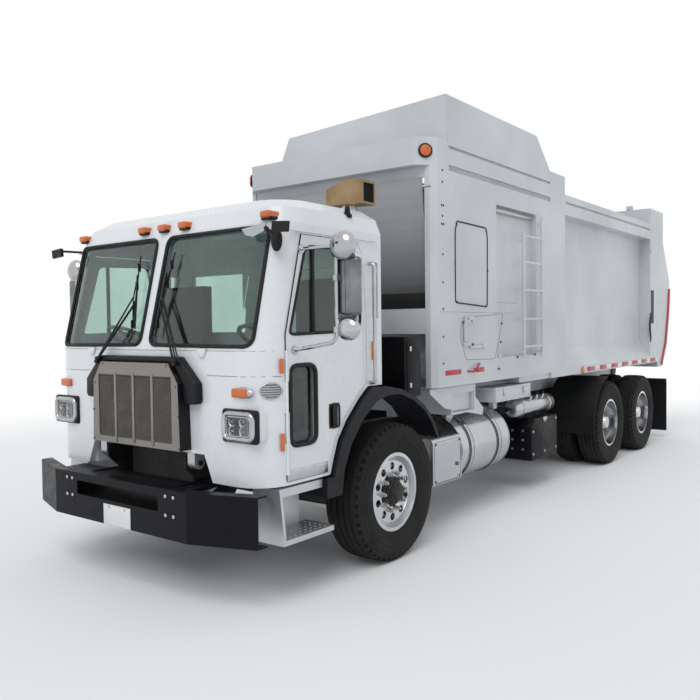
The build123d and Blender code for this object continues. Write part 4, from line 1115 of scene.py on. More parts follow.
@dataclass
class CabFront:
    """Windscreen gaskets, lamps, markers, hooks, vents and wipers."""

    skin: CabSkin = field(default_factory=CabSkin)
    shield: tuple[Flat, ...] = ((0.052, 1.676), (1.044, 1.668), (1.040, 2.444), (0.058, 2.444))
    shield_bend: float = 0.07
    gasket_r: float = 0.014
    lamp_x: tuple[float, float] = (0.818, 1.118)
    lamp_z: tuple[float, float] = (1.063, 1.264)
    lamp_face: float = 0.228
    lamp_edge: float = 0.02
    bowl: tuple[Flat, ...] = (
        (0.0, 0.034), (0.004, 0.030), (0.010, 0.020), (0.012, 0.008), (0.004, 0.006), (0.004, 0.0),
    )
    bowl_pitch: Flat = (0.048, 0.030)
    marker_x: tuple[float, float] = (0.228, 1.02)
    vent_turn: float = 1.02
    vent_z: float = 1.386
    vent_half: Flat = (0.30, 0.052)
    vent_steps: int = 24
    slats: int = 6
    slat_pitch: float = 0.015
    corner_x: tuple[float, ...] = (0.925, 0.99, 1.05, 1.10, 1.14)

    def build(self) -> None:
        """Make everything on the cab's front."""
        self.gaskets()
        self.headlamps()
        self.signals()
        self.hooks()
        self.vents()
        self.side_fittings()
        self.corner_mirror()
        self.wipers()

    def on_skin(self, x: float, z: float, out: float = 0.0) -> Point:
        """Point on the skin, or standing off it."""
        return (x, self.skin.station(x, z) - out, z)

    def gaskets(self) -> None:
        """Rubber beads round both windscreen panes."""
        flat = [(x, 0.0, z) for x, z in self.shield]
        fine = [(p.x, p.z) for p in softened(flat, self.shield_bend, True)]
        ring: list[Point] = []
        for (ax, az), (bx, bz) in zip(fine, fine[1:] + fine[:1]):
            for k in range(CORNER_STEPS):
                t = k / CORNER_STEPS
                ring.append(self.on_skin(ax + (bx - ax) * t, az + (bz - az) * t, 0.002))
        work = Metalwork().pipe(ring, self.gasket_r, closed=True, sides=2)
        work.both().done("windscreen_gaskets", "cab", Finishes.GASKET)

    def lamp_ring(self, inset: Flat, back: float) -> list[Point]:
        """Rectangle inside a headlamp's edges.

        Args:
            inset: Distance in from its sides, and from its foot and top.
            back: Distance behind its face.

        Returns:
            The corners.
        """
        (x0, x1), (z0, z1), (dx, dz) = self.lamp_x, self.lamp_z, inset
        corners = [(x0 + dx, z0 + dz), (x1 - dx, z0 + dz), (x1 - dx, z1 - dz), (x0 + dx, z1 - dz)]
        return ringed(corners, Run.Y, self.lamp_face + back)

    def headlamps(self) -> None:
        """Square headlamps: rim, bright bezel, bowls and lens."""
        (x0, x1), (z0, z1), y = self.lamp_x, self.lamp_z, self.lamp_face
        mid_x, mid_z = (x0 + x1) / 2, (z0 + z1) / 2
        rim = Metalwork().box(
            (x0 - 0.006, y + 0.012, z0 - 0.008), (x1 + 0.006, y + 0.058, z1 + 0.008),
            self.lamp_edge, 4,
        )
        rim.both().done("headlamp_rims", "cab", Finishes.TRIM, ("headlamps",))
        pod = Metalwork().box(
            (x0 + 0.004, y + 0.05, z0 + 0.002), (x1 - 0.001, y + 0.145, z1 - 0.002),
            self.lamp_edge, 4,
        )
        pod.both().done("headlamp_pods", "cab", Finishes.WHITE)
        bezel = Metalwork()
        bezel.pipe(self.lamp_ring((0.022, 0.020), 0.012), 0.017, 0.045, True)
        bezel.pipe(self.lamp_ring((0.046, 0.040), 0.014), 0.009, 0.03, True)
        bezel.box((x0 + 0.02, y + 0.020, z0 + 0.02), (x1 - 0.02, y + 0.03, z1 - 0.02), 0.004)
        bezel.both().done("headlamp_bezels", "cab", Finishes.CHROME)
        bowls = Metalwork()
        for x in (mid_x - self.bowl_pitch[0], mid_x + self.bowl_pitch[0]):
            for z in (mid_z - self.bowl_pitch[1], mid_z + self.bowl_pitch[1]):
                bowls.turned(self.bowl, (x, y + 0.006, z), 20, Run.Y, closed=False)
        bowls.both().done("headlamp_bowls", "cab", Finishes.CHROME)
        lens = Metalwork().box(
            (x0 + 0.05, y - 0.002, z0 + 0.044), (x1 - 0.05, y + 0.003, z1 - 0.044), 0.002
        )
        lens.both().done("headlamp_lenses", "cab", Finishes.LENS)

    def signals(self) -> None:
        """Oval turn lamps and the five roof markers."""
        amber, base = Metalwork(), Metalwork()
        amber.box((0.905, 0.238, 1.346), (1.035, 0.275, 1.404), 0.012, 3)
        plinth = Metalwork().ball((0.982, 0.274, 1.3755), 0.044, (2.12, 0.62, 0.88))
        plinth.both().done("signal_plinths", "cab", Finishes.CHROME)
        for x in self.marker_x:
            self.marker(amber, base, x)
        amber.both()
        base.both()
        self.marker(amber, base, 0.0)
        amber.done("amber_lenses", "cab", Finishes.AMBER, ("amber_lamps",))
        base.done("lamp_bases", "cab", Finishes.TRIM)

    def marker(self, amber: Metalwork, base: Metalwork, x: float) -> None:
        """One roof marker lamp on its dark foot.

        Args:
            amber: Mesh of the lenses.
            base: Mesh of the feet.
            x: Place across the roof.
        """
        y = self.skin.station(x, 2.47) + 0.035
        amber.box((x - 0.042, y - 0.075, 2.497), (x + 0.042, y + 0.04, 2.545), 0.014, 3)
        base.box((x - 0.046, y - 0.055, 2.486), (x + 0.046, y + 0.05, 2.507), 0.006)

    def hooks(self) -> None:
        """Tapered tab below each pane."""
        x, half, tip = 0.62, 0.045, 0.022
        outline = [(x - half, 1.655), (x + half, 1.655), (x + tip, 1.60), (x - tip, 1.60)]
        tabs = Metalwork().plate(outline, Run.Y, 0.245, 0.262, 0.003)
        tabs.both().done("windscreen_hooks", "cab", Finishes.WHITE)

    def vents(self) -> None:
        """Oval vent on each round corner: its rim and its slots."""
        vent, slots = Metalwork(), Metalwork()
        wide, high = self.vent_half
        for k in range(self.vent_steps):
            ends = []
            for step in (k, k + 1):
                t = 2 * math.pi * step / self.vent_steps
                turn, z = self.vent_turn + wide * math.cos(t), self.vent_z + high * math.sin(t)
                ends.append(self.round_corner(turn, z, 0.003))
            vent.rod(ends[0], ends[1], 0.005, 8)
        for k in range(self.slats):
            lift = -0.0375 + self.slat_pitch * k
            reach = 0.27 * math.sqrt(max(0.05, 1 - (lift / high) ** 2))
            path = [
                self.round_corner(self.vent_turn + reach * t, self.vent_z + lift, 0.002)
                for t in (-1.0, -0.5, 0.0, 0.5, 1.0)
            ]
            slots.pipe(path, 0.0042, sides=1)
        vent.both().done("corner_vents", "cab", Finishes.BARE)
        slots.both().done("corner_vent_slots", "cab", Finishes.DARK_STEEL)

    def side_fittings(self) -> None:
        """Reflectors, aerial, gutters and pressed seams."""
        reflectors = Metalwork()
        for z0, z1 in ((1.494, 1.589), (0.998, 1.110)):
            reflectors.box((1.163, 0.418, z0), (1.174, 0.452, z1), 0.004)
        reflectors.box((1.163, 1.412, 1.539), (1.174, 1.436, 1.678), 0.004)
        # The amber finish's faint emission makes these reflectors glow too, though they are no
        # lamps: a painted glow.
        reflectors.both().done("cab_reflectors", "cab", Finishes.AMBER)
        knob = Metalwork().rod((1.118, 1.20, 2.565), (1.118, 1.20, 2.592), 0.034, 20, edge=0.004)
        knob.rod((1.118, 1.20, 2.590), (1.118, 1.20, 2.650), 0.024, 20, edge=0.004, tip=0.016)
        knob.done("roof_aerial", "cab", Finishes.TRIM)
        gutter = Metalwork().box((1.150, 0.52, 2.409), (1.188, 1.49, 2.421), 0.004)
        gutter.both().done("roof_gutters", "cab", Finishes.WHITE)
        low = [self.on_skin(x, 1.478, 0.0006) for x in (0.66, 0.8) + self.corner_x]
        high = [self.on_skin(x, 1.640, 0.0012) for x in self.corner_x]
        seams = Metalwork().pipe(low + [(1.1655, 0.44, 1.476)], 0.0016, sides=1)
        seams.pipe([(0.0, 0.2605, 1.640)] + high, 0.0012, sides=1)
        seams.both().done("cab_seams", "cab", Finishes.DARK_STEEL)

    def corner_mirror(self) -> None:
        """Glass and mount of the mirror that looks down the cab's front."""
        outline = [(0.870, 2.430), (1.090, 2.456), (1.072, 2.402), (0.972, 2.374), (0.905, 2.388)]
        glass = Metalwork().plate(outline, Run.Y, 0.392, 0.398)
        glass.done("corner_mirror_glass", "cab", Finishes.MIRROR)
        black = Metalwork().ball((1.135, 0.440, 2.345), 0.060, (0.75, 0.45, 1.25))
        black.rod((1.072, 0.396, 2.425), (1.135, 0.440, 2.375), 0.010, 12)
        black.done("corner_mirror_mount", "cab", Finishes.TRIM)

    def round_corner(self, turn: float, z: float, out: float) -> Point:
        """Point on the cab's upright round corner, by its angle from straight ahead.

        Args:
            turn: Angle round the corner in radians.
            z: Height.
            out: How far it stands off the skin.

        Returns:
            The point.
        """
        r, middle = self.skin.corner + out, self.skin.half - self.skin.corner
        y = self.skin.front + self.skin.corner - r * math.cos(turn)
        return (middle + r * math.sin(turn), y, z)

    def wipers(self) -> None:
        """Pantograph wipers parked by the centre pillar."""
        work = Metalwork()
        grip_low, grip_high = Vector((0.006, 0.012, 0.03)), Vector((0.006, 0.010, 0.03))
        for s, foot_x, tip_x in ((1, 0.44, 0.13), (-1, 0.44, 0.16)):
            foot = (s * foot_x, 0.185, 1.575)
            elbow = (s * (tip_x + 0.015), self.skin.station(tip_x, 2.02) - 0.045, 2.02)
            low = (s * (foot_x + 0.03), 0.185, 1.56)
            work.rod(foot, elbow, 0.006, 8)
            work.rod(low, (elbow[0] + s * 0.02, elbow[1], elbow[2] - 0.02), 0.005, 8)
            work.rod((foot[0], 0.20, foot[2]), (foot[0], 0.165, foot[2]), 0.017, 16, edge=0.003)
            blade_low = Vector(self.on_skin(s * (tip_x - 0.01), 1.735, 0.020))
            blade_high = Vector(self.on_skin(s * (tip_x + 0.05), 2.33, 0.020))
            work.rod(tuple(blade_low), tuple(blade_high), 0.005, 8)
            for k in (0.15, 0.38, 0.62, 0.85):
                spot = blade_low.lerp(blade_high, k)
                work.box(tuple(spot - grip_low), tuple(spot + grip_high), 0.002)
            bow = [tuple(blade_low.lerp(blade_high, k)) for k in (0.2, 0.8)]
            work.pipe([bow[0], elbow, bow[1]], 0.005, 0.05)
        work.done("wipers", "cab", Finishes.TRIM)


@dataclass
class Grille:
    """Mesh panels, frame rivets and the moulded hood."""

    panel_x: tuple[float, ...] = (-0.410, -0.205, 0.005, 0.210)
    panel_width: float = 0.195
    low: float = 1.015
    high: float = 1.465
    pitch: float = 0.0165
    rivets: tuple[Flat, ...] = (
        (-0.462, 1.40), (0.450, 1.40), (-0.478, 0.985), (0.478, 0.985), (-0.478, 1.20),
        (0.474, 1.20), (-0.36, 1.54), (0.36, 1.54), (-0.2, 0.985), (0.2, 0.985),
    )
    bar_x: tuple[float, ...] = (-0.2075, -0.0025, 0.2075)
    flank: tuple[Flat, ...] = ((0.4903, 0.972), (0.4925, 0.972), (0.4778, 1.418), (0.4755, 1.418))
    hood: tuple[Flat, ...] = (
        (0.494, 1.285), (0.480, 1.425), (0.384, 1.560), (-0.384, 1.560), (-0.480, 1.425),
        (-0.494, 1.285), (-0.604, 1.285), (-0.622, 1.310), (-0.618, 1.425), (-0.440, 1.598),
        (0.440, 1.598), (0.618, 1.425), (0.622, 1.310), (0.604, 1.285),
    )

    def build(self) -> None:
        """Make the grille's pieces."""
        backing, wires = Metalwork(), Metalwork()
        z0, z1 = self.low, self.high
        for x0 in self.panel_x:
            x1 = x0 + self.panel_width
            backing.box((x0 + 0.002, 0.1695, z0 + 0.002), (x1 - 0.002, 0.1712, z1 - 0.002))
            self.lattice(wires, x0 + 0.001, x1 - 0.001)
            corners = [
                (x0 + 0.003, z0 + 0.003), (x1 - 0.003, z0 + 0.003),
                (x1 - 0.003, z1 - 0.003), (x0 + 0.003, z1 - 0.003),
            ]
            wires.pipe(ringed(corners, Run.Y, 0.1645), 0.004, 0.015, True, sides=1)
        backing.done("grille_backing", "cab", Finishes.TRIM)
        wires.done("grille_wires", "cab", Finishes.MESH_DARK)
        rivets = Metalwork()
        for x, z in self.rivets:
            rivets.rod((x, 0.158, z), (x, 0.166, z), 0.007, 12, edge=0.003)
        for x in self.bar_x:
            rivets.box((x - 0.0125, 0.1605, 0.985), (x + 0.0125, 0.1655, 1.475), 0.002)
        rivets.done("grille_rivets", "cab", Finishes.STAINLESS)
        flank = Metalwork().plate(self.flank, Run.Y, 0.1665, 0.262)
        flank.both().done("grille_flanks", "cab", Finishes.FLARE)
        hood = Metalwork().plate(self.hood, Run.Y, 0.197, 0.262, 0.012, 3)
        hood.done("grille_hood", "cab", Finishes.FLARE, ("grille_surround",))

    def lattice(self, wires: Metalwork, x0: float, x1: float) -> None:
        """Add two sets of slanting flat wires across one panel.

        Args:
            wires: Mesh to add to.
            x0: Left edge of the panel.
            x1: Right edge of the panel.
        """
        z0, z1 = self.low + 0.002, self.high - 0.002
        for lean in (1.0, -1.0):
            start = z0 - (x1 - x0)
            count = int((z1 - z0 + 2 * (x1 - x0)) / self.pitch)
            for i in range(count):
                at = start + i * self.pitch
                ends = []
                for x in (x0, x1):
                    ends.append(at + lean * (x - x0) + (0.0 if lean > 0 else (x1 - x0)))
                a, b = (x0, ends[0]), (x1, ends[1])
                cut = self.clip(a, b, z0, z1)
                if cut is None:
                    continue
                (ax, az), (bx, bz) = cut
                y = 0.1665 if lean > 0 else 0.1675
                wires.rod((ax, y, az), (bx, y, bz), 0.0019, 4)

    @staticmethod
    def clip(a: Flat, b: Flat, low: float, high: float) -> Optional[tuple[Flat, Flat]]:
        """Part of a slanting line between two heights.

        Args:
            a: First end.
            b: Last end.
            low: Lowest height.
            high: Highest height.

        Returns:
            The ends of what is left, or None where too little is left.
        """
        (ax, az), (bx, bz) = (a, b) if a[1] <= b[1] else (b, a)
        if bz <= low or az >= high:
            return None
        slope = (bx - ax) / (bz - az)
        if az < low:
            ax, az = ax + slope * (low - az), low
        if bz > high:
            bx, bz = ax + slope * (high - az), high
        if bz - az < 0.004:
            return None
        return (ax, az), (bx, bz)


@dataclass
class Bumper:
    """Bolts, back plate and blank plate on the bumper."""

    bolt_x: tuple[float, ...] = (-0.582, -0.516, 0.539, 0.618)
    bolt_z: tuple[float, float] = (0.710, 0.587)
    plate_y: float = -0.004
    plate_rim: tuple[Flat, ...] = (
        (-0.131, 0.437), (0.164, 0.437), (0.164, 0.572), (-0.131, 0.572),
    )
    plate_bolt_x: tuple[float, float] = (-0.072, 0.106)

    def build(self) -> None:
        """Make the bumper's fittings."""
        ahead = (0.0, -1.0, 0.0)
        bolts = Metalwork()
        for x in self.bolt_x:
            for z in self.bolt_z:
                bolts.bolt((x, 0.002, z), ahead, 0.013, 0.007, 20)
        for x in self.plate_bolt_x:
            bolts.bolt((x, -0.003, 0.560), ahead, 0.007, 0.003)
        bolts.done("bumper_bolts", "chassis", Finishes.BARE)
        back = Metalwork().box((-0.85, 0.150, 0.480), (0.60, 0.158, 0.735), 0.002)
        back.box((-0.85, 0.150, 0.728), (0.60, 0.325, 0.735), 0.002)
        back.done("bumper_back_plate", "chassis", Finishes.FLARE)
        plate = Metalwork().box((-0.135, self.plate_y, 0.433), (0.168, -0.0015, 0.576), 0.0006)
        rim = ringed(self.plate_rim, Run.Y, self.plate_y)
        plate.pipe(rim, 0.0018, 0.012, True, sides=1)
        plate.done("blank_plate", "chassis", Finishes.PLATE)


@dataclass
class DoorFace:
    """Window gaskets, handle, kick strip and seals of one door."""

    side: Side
    window: tuple[Flat, ...] = (
        (0.517, 1.752), (0.560, 1.742), (1.200, 1.758), (1.268, 1.795), (1.278, 1.860),
        (1.205, 2.312), (1.160, 2.340), (0.720, 2.322), (0.672, 2.292),
    )
    low_window: tuple[Flat, ...] = ((0.516, 1.018), (0.770, 1.018), (0.770, 1.539), (0.516, 1.539))
    cup: tuple[Flat, ...] = ((0.912, 1.092), (1.022, 1.092), (1.022, 1.254), (0.912, 1.254))
    front_edge: tuple[Flat, ...] = ((0.4745, 0.80), (0.4745, 1.74), (0.640, 2.395))
    kick_bolt_y: tuple[float, ...] = (0.51, 0.63, 0.75, 0.87)
    skin_x: float = 1.165

    def build(self) -> None:
        """Make the door's fittings."""
        body, word, x = f"door_{self.side.word}", self.side.word, self.skin_x
        gasket = Metalwork().pipe(ringed(self.window, Run.X, x), 0.010, 0.03, True, sides=2)
        gasket.pipe(ringed(self.low_window, Run.X, x), 0.016, 0.07, True, sides=2)
        gasket.box((x - 0.032, 0.760, 1.75), (x - 0.008, 0.785, 2.315), 0.003)
        gasket.pipe(ringed(self.cup, Run.X, x + 0.002), 0.006, 0.03, True, sides=1)
        gasket.box((x - 0.026, 0.912, 1.090), (x - 0.022, 1.024, 1.256))
        gasket.on(self.side).done(f"door_{word}_gaskets", body, Finishes.GASKET)
        handle = Metalwork().box((x - 0.014, 0.944, 1.084), (x + 0.008, 0.986, 1.262), 0.006, 3)
        handle.on(self.side).done(f"door_{word}_handle", body, Finishes.TRIM)
        seal = Metalwork().pipe(ringed(self.front_edge, Run.X, x), 0.0042, sides=1)
        seal.on(self.side).done(f"door_{word}_front_seal", body, Finishes.GASKET)
        kick = Metalwork().box((x - 0.001, 0.492, 0.797), (x + 0.003, 0.886, 0.868), 0.001)
        for y in self.kick_bolt_y:
            kick.rod((x + 0.002, y, 0.855), (x + 0.006, y, 0.855), 0.006, 12, edge=0.002)
        kick.on(self.side).done(f"door_{word}_kick_strip", body, Finishes.TANK)


@dataclass
class TruckBody:
    """Panel gasket, hatch, bolts, tape and lamps of the refuse body."""

    side_x: float = 1.100
    panel_edge: tuple[Flat, ...] = (
        (2.77, 1.99), (3.37, 1.96), (3.38, 2.60), (3.36, 2.70), (2.80, 2.71), (2.77, 2.60),
    )
    panel_bolts: tuple[Flat, ...] = (
        (2.80, 1.995), (3.34, 1.965), (3.355, 2.67), (2.80, 2.68), (2.765, 2.33), (3.385, 2.30),
    )
    tape_start: float = 6.0
    tape_count: int = 7
    tape_pitch: float = 0.437
    tape_red: float = 0.26
    tape_out: float = 0.0012
    tape_edge: float = 0.0003
    tape_z: Flat = (1.205, 1.258)
    foot_tape: tuple[Flat, Flat] = ((2.588, 2.865), (3.147, 3.305))
    side_marker: tuple[Flat, ...] = ((0.0, 0.048), (0.010, 0.045), (0.016, 0.030), (0.018, 0.0))
    post_holes: tuple[Flat, ...] = (
        (2.56, 1.46), (2.56, 1.69), (2.56, 1.93), (2.56, 2.16), (2.56, 2.40), (2.545, 2.66),
        (2.575, 2.66), (2.56, 2.73), (2.545, 2.82), (2.575, 2.82), (2.56, 3.02), (2.56, 3.12),
    )
    header_plate: tuple[Flat, ...] = (
        (0.952, 2.3310), (1.099, 2.4780), (1.096, 2.4810), (0.949, 2.3340),
    )
    header_lamp: Point = (1.026, 2.405, 3.27)
    apron_bolt_x: tuple[float, ...] = (-0.8, -0.4, 0.0, 0.4, 0.8)
    hatch_edge: tuple[Flat, ...] = (
        (2.894, 1.857), (3.704, 1.896), (3.640, 1.700), (3.527, 1.460), (2.960, 1.474),
        (2.847, 1.690),
    )
    hatch_pins: tuple[Flat, ...] = (
        (2.905, 1.815), (3.05, 1.825), (3.078, 1.612), (3.19, 1.588), (3.66, 1.80),
        (3.64, 1.62), (4.02, 1.46), (4.44, 1.47), (3.60, 1.36),
    )
    grooves: tuple[tuple[float, float, float, float], ...] = (
        (2.672, 4.878, 3.327, 3.350), (2.672, 4.878, 3.137, 3.183), (5.172, 8.598, 3.167, 3.190),
    )

    def build(self) -> None:
        """Make the refuse body's fittings."""
        self.panel()
        self.tape()
        self.post_hole_painted_shade()
        self.header()
        self.hopper_mouth()
        self.hatch()
        self.latch()
        self.prop()
        self.groove_painted_shade()
        self.rear_post()

    def studs(
        self, work: Metalwork, places: Iterable[Flat], start: float, end: float, radius: float,
        edge: float = 0.0,
    ) -> None:
        """Add short rods that stand out of the side.

        Args:
            work: Mesh to add to.
            places: Station and height of each rod.
            start: Where the rods start, from the side's face.
            end: Where they end.
            radius: Their radius.
            edge: Width of their rounded edges.
        """
        x = self.side_x
        for y, z in places:
            work.rod((x + start, y, z), (x + end, y, z), radius, 12, edge=edge)

    def panel(self) -> None:
        """Gasket of the access panel."""
        ring = ringed(self.panel_edge, Run.X, self.side_x + 0.001)
        work = Metalwork().pipe(ring, 0.007, 0.03, True, sides=1)
        work.done("panel_gasket", "refuse_body", Finishes.GASKET)

    def tape(self) -> None:
        """Reflective tape along the rub rail and the hopper's foot, and the side lamps."""
        red, white = Metalwork(), Metalwork()
        x, out, edge = self.side_x, self.side_x + self.tape_out, self.tape_edge
        z0, z1 = self.tape_z
        for i in range(self.tape_count):
            y = self.tape_start + i * self.tape_pitch
            red.box((x, y, z0), (out, y + self.tape_red, z1), edge)
            white.box((x, y + self.tape_red, z0), (out, y + self.tape_pitch, z1), edge)
        for y0, y1 in self.foot_tape:
            red.box((x, y0, 1.350), (out, y1, 1.395), edge)
        red.both().done("tape_red", "refuse_body", Finishes.RED_TAPE)
        white.both().done("tape_white", "refuse_body", Finishes.WHITE_TAPE)
        amber = Metalwork()
        amber.turned(self.side_marker, (1.099, 5.84, 1.235), 24, Run.X, closed=False)
        amber.both().done("side_markers", "refuse_body", Finishes.AMBER)

    def post_hole_painted_shade(self) -> None:
        """Painted shade: dark discs for the bolt holes up the front posts."""
        work = Metalwork()
        self.studs(work, self.post_holes, -0.001, self.tape_out, 0.011)
        work.both().done("post_hole_painted_shade", "refuse_body", Finishes.TRIM)

    def header(self) -> None:
        """Lamp plates and lamps on the header's corners."""
        faces = Metalwork().plate(self.header_plate, Run.Z, 3.151, 3.389)
        faces.both().done("header_corners", "refuse_body", Finishes.BODY_WHITE)
        lamp, rim = Metalwork(), Metalwork()
        away = Vector((1.0, -1.0, 0.0)).normalized()
        seat = Vector(self.header_lamp)
        rim.rod(tuple(seat), tuple(seat + away * 0.014), 0.062, 28, edge=0.004)
        lamp.rod(tuple(seat + away * 0.010), tuple(seat + away * 0.026), 0.048, 28, edge=0.007)
        rim.both().done("header_lamp_rims", "refuse_body", Finishes.GASKET)
        lamp.both().done("header_lamps", "refuse_body", Finishes.AMBER, ("body_lamps",))

    def hopper_mouth(self) -> None:
        """Cross rods of the hopper's front, and a dark rubber apron that also stands in for the
        shade below the packer.
        """
        rods = Metalwork()
        rods.rod((-1.06, 2.436, 2.972), (1.06, 2.436, 2.972), 0.010, 12)
        rods.rod((-1.06, 2.444, 2.998), (1.06, 2.444, 2.998), 0.008, 12)
        rods.done("hopper_cross_rods", "refuse_body", Finishes.BARE)
        # Dark flap across the shaded gap below the packer: a rubber apron and painted shade.
        apron = Metalwork().box((-0.995, 2.468, 1.930), (0.995, 2.480, 2.075), 0.003)
        for x in self.apron_bolt_x:
            apron.rod((x, 2.468, 1.96), (x, 2.460, 1.96), 0.012, 12)
        apron.box((0.985, 2.452, 2.950), (1.020, 2.476, 3.018), 0.006)
        apron.box((-1.020, 2.452, 2.950), (-0.985, 2.476, 3.018), 0.006)
        apron.done("hopper_apron_painted_shade", "refuse_body", Finishes.HOSE)

    def hatch(self) -> None:
        """Seams of the lower hatch and of the sheets round it."""
        x = self.side_x
        seam = Metalwork().pipe(ringed(self.hatch_edge, Run.X, x), 0.0022, 0.03, True, sides=1)
        seam.pipe([(x, 2.50, 1.905), (x, 4.03, 1.905)], 0.0012, sides=1)
        seam.pipe([(x, 3.55, 2.004), (x, 4.03, 2.004)], 0.0016, sides=1)
        seam.done("hatch_seams", "refuse_body", Finishes.DARK_STEEL)

    def latch(self) -> None:
        """The hatch's latch, its hinge and pins, and the ladder bay's lamp bar."""
        x = self.side_x
        white = Metalwork()
        white.box((x - 0.004, 2.93, 1.80), (x + 0.012, 3.10, 1.87), 0.004)
        white.rod((x + 0.016, 2.915, 1.64), (x + 0.016, 2.915, 1.82), 0.013, 16, edge=0.003)
        white.box((x, 2.90, 1.60), (x + 0.022, 3.02, 1.635), 0.006)
        white.box((x, 3.02, 1.575), (x + 0.018, 3.30, 1.60), 0.005)
        white.rod((x + 0.010, 3.27, 1.59), (x + 0.030, 3.27, 1.59), 0.022, 20, edge=0.004)
        white.box((x, 3.60, 1.47), (x + 0.010, 3.655, 1.50), 0.003)
        white.done("hatch_latch", "refuse_body", Finishes.BODY_WHITE)
        pins = Metalwork()
        self.studs(pins, self.hatch_pins, 0.0, 0.015, 0.011, 0.002)
        pins.box((x, 2.975, 1.835), (x + 0.014, 2.990, 1.862), 0.002)
        pins.done("hatch_pins", "refuse_body", Finishes.DARK_STEEL)
        bar = Metalwork().rod((1.062, 3.61, 2.905), (1.062, 4.45, 2.905), 0.022, 16, edge=0.004)
        bar.done("bay_lamp_bar", "refuse_body", Finishes.BARE)

    def prop(self) -> None:
        """Red prop hook and the access panel's bolts."""
        x = self.side_x
        path = [(x + 0.006, 2.98, 1.37), (x + 0.03, 3.07, 1.36), (x + 0.03, 3.14, 1.42),
                (x + 0.006, 3.21, 1.43)]
        hook = Metalwork().pipe(path, 0.009, 0.03)
        hook.rod((x, 3.12, 1.375), (x + 0.04, 3.12, 1.375), 0.017, 16, edge=0.003)
        hook.done("prop_hook", "refuse_body", Finishes.RED)
        bolts = Metalwork()
        self.studs(bolts, self.panel_bolts, 0.0, 0.006, 0.012, 0.002)
        bolts.done("panel_bolts", "refuse_body", Finishes.DARK_STEEL)

    def groove_painted_shade(self) -> None:
        """Painted shade: dark strips on the floors of the pressed grooves along the top of the
        side.
        """
        work = Metalwork()
        for y0, y1, z0, z1 in self.grooves:
            work.box((self.side_x - 0.0115, y0, z0), (self.side_x - 0.0095, y1, z1))
        work.both().done("groove_painted_shade", "refuse_body", Finishes.BODY_WHITE_PAINTED_SHADE)

    def rear_post(self) -> None:
        """Painted shade: dark lining in the slot, a dark strip beside it and a dark bolt hole; and
        the hoses of the rear post.
        """
        x = self.side_x
        # Black lining, face strip and hole disc are painted shade for the slot and the hole.
        slot = Metalwork().box((x - 0.019, 8.642, 1.783), (x - 0.016, 8.698, 2.277))
        slot.box((x - 0.001, 8.690, 1.780), (x + 0.0012, 8.800, 2.280))
        self.studs(slot, [(8.64, 2.86)], -0.001, 0.001, 0.014)
        slot.both().done("post_slot_painted_shade", "refuse_body", Finishes.HOSE)
        hose = Metalwork()
        for lean, drop in ((0.0, 0.0), (0.035, 0.05)):
            path = [
                (x - 0.012, 8.655, 1.94 - drop), (x + 0.014, 8.60, 1.92 - drop),
                (x + 0.016, 8.53 + lean, 1.80), (x + 0.016, 8.54 + lean, 1.66),
                (x + 0.012, 8.62, 1.56), (x - 0.004, 8.63, 1.50),
            ]
            hose.pipe(path, 0.009, 0.05)
        hose.done("post_hoses", "refuse_body", Finishes.HOSE)


@dataclass
class TankDress:
    """Straps, cap and fluid box fittings of the fuel tank."""

    x: float = 0.800
    z: float = 0.650
    radius: float = 0.318
    straps: tuple[float, ...] = (3.040, 3.590)
    seams: tuple[float, ...] = (2.868, 3.812)
    cap_y: float = 2.935
    box_edge: tuple[Flat, ...] = ((2.40, 0.43), (2.84, 0.43), (2.84, 0.79), (2.40, 0.79))

    def ring(self, work: Metalwork, y: float, half: float, low: float, high: float) -> None:
        """Add a flat band round the tank.

        Args:
            work: Mesh to add to.
            y: Station of its middle.
            half: Half its width.
            low: Its inner radius.
            high: Its outer radius.
        """
        section = [(-half, low), (half, low), (half, high), (-half, high)]
        work.turned(section, (self.x, y, self.z), 72, Run.Y)

    def build(self) -> None:
        """Make the tank's fittings."""
        rubber, steel, r = Metalwork(), Metalwork(), self.radius
        x, z = self.x, self.z
        for y in self.straps:
            self.ring(rubber, y, 0.036, r - 0.002, r + 0.0014)
            self.ring(steel, y, 0.024, r + 0.0008, r + 0.0032)
            steel.box((x + 0.04, y - 0.02, z + 0.312), (x + 0.13, y + 0.02, z + 0.338), 0.006)
            steel.rod((x + 0.02, y, z + 0.334), (x + 0.17, y, z + 0.318), 0.007, 12)
        for y in self.seams:
            self.ring(steel, y, 0.006, 0.306, 0.3125)
        rubber.done("tank_strap_liners", "chassis", Finishes.GASKET)
        steel.done("tank_straps", "chassis", Finishes.CHROME)
        cap, y = Metalwork(), self.cap_y
        cap.rod((x + 0.10, y, z + 0.285), (x + 0.125, y, z + 0.335), 0.055, 24, edge=0.006)
        cap.rod((x + 0.12, y, z + 0.325), (x + 0.13, y, z + 0.350), 0.046, 8, edge=0.006)
        cap.done("tank_cap", "chassis", Finishes.BARE)
        box = Metalwork()
        for y in (2.42, 2.82):
            for z in (0.45, 0.77):
                box.rod((1.099, y, z), (1.106, y, z), 0.010, 12, edge=0.002)
        box.pipe(ringed(self.box_edge, Run.X, 1.1), 0.0022, 0.03, True, sides=1)
        box.rod((1.098, 2.78, 0.56), (1.112, 2.78, 0.56), 0.018, 20, edge=0.004)
        box.done("fluid_box_fittings", "chassis", Finishes.DARK_STEEL)


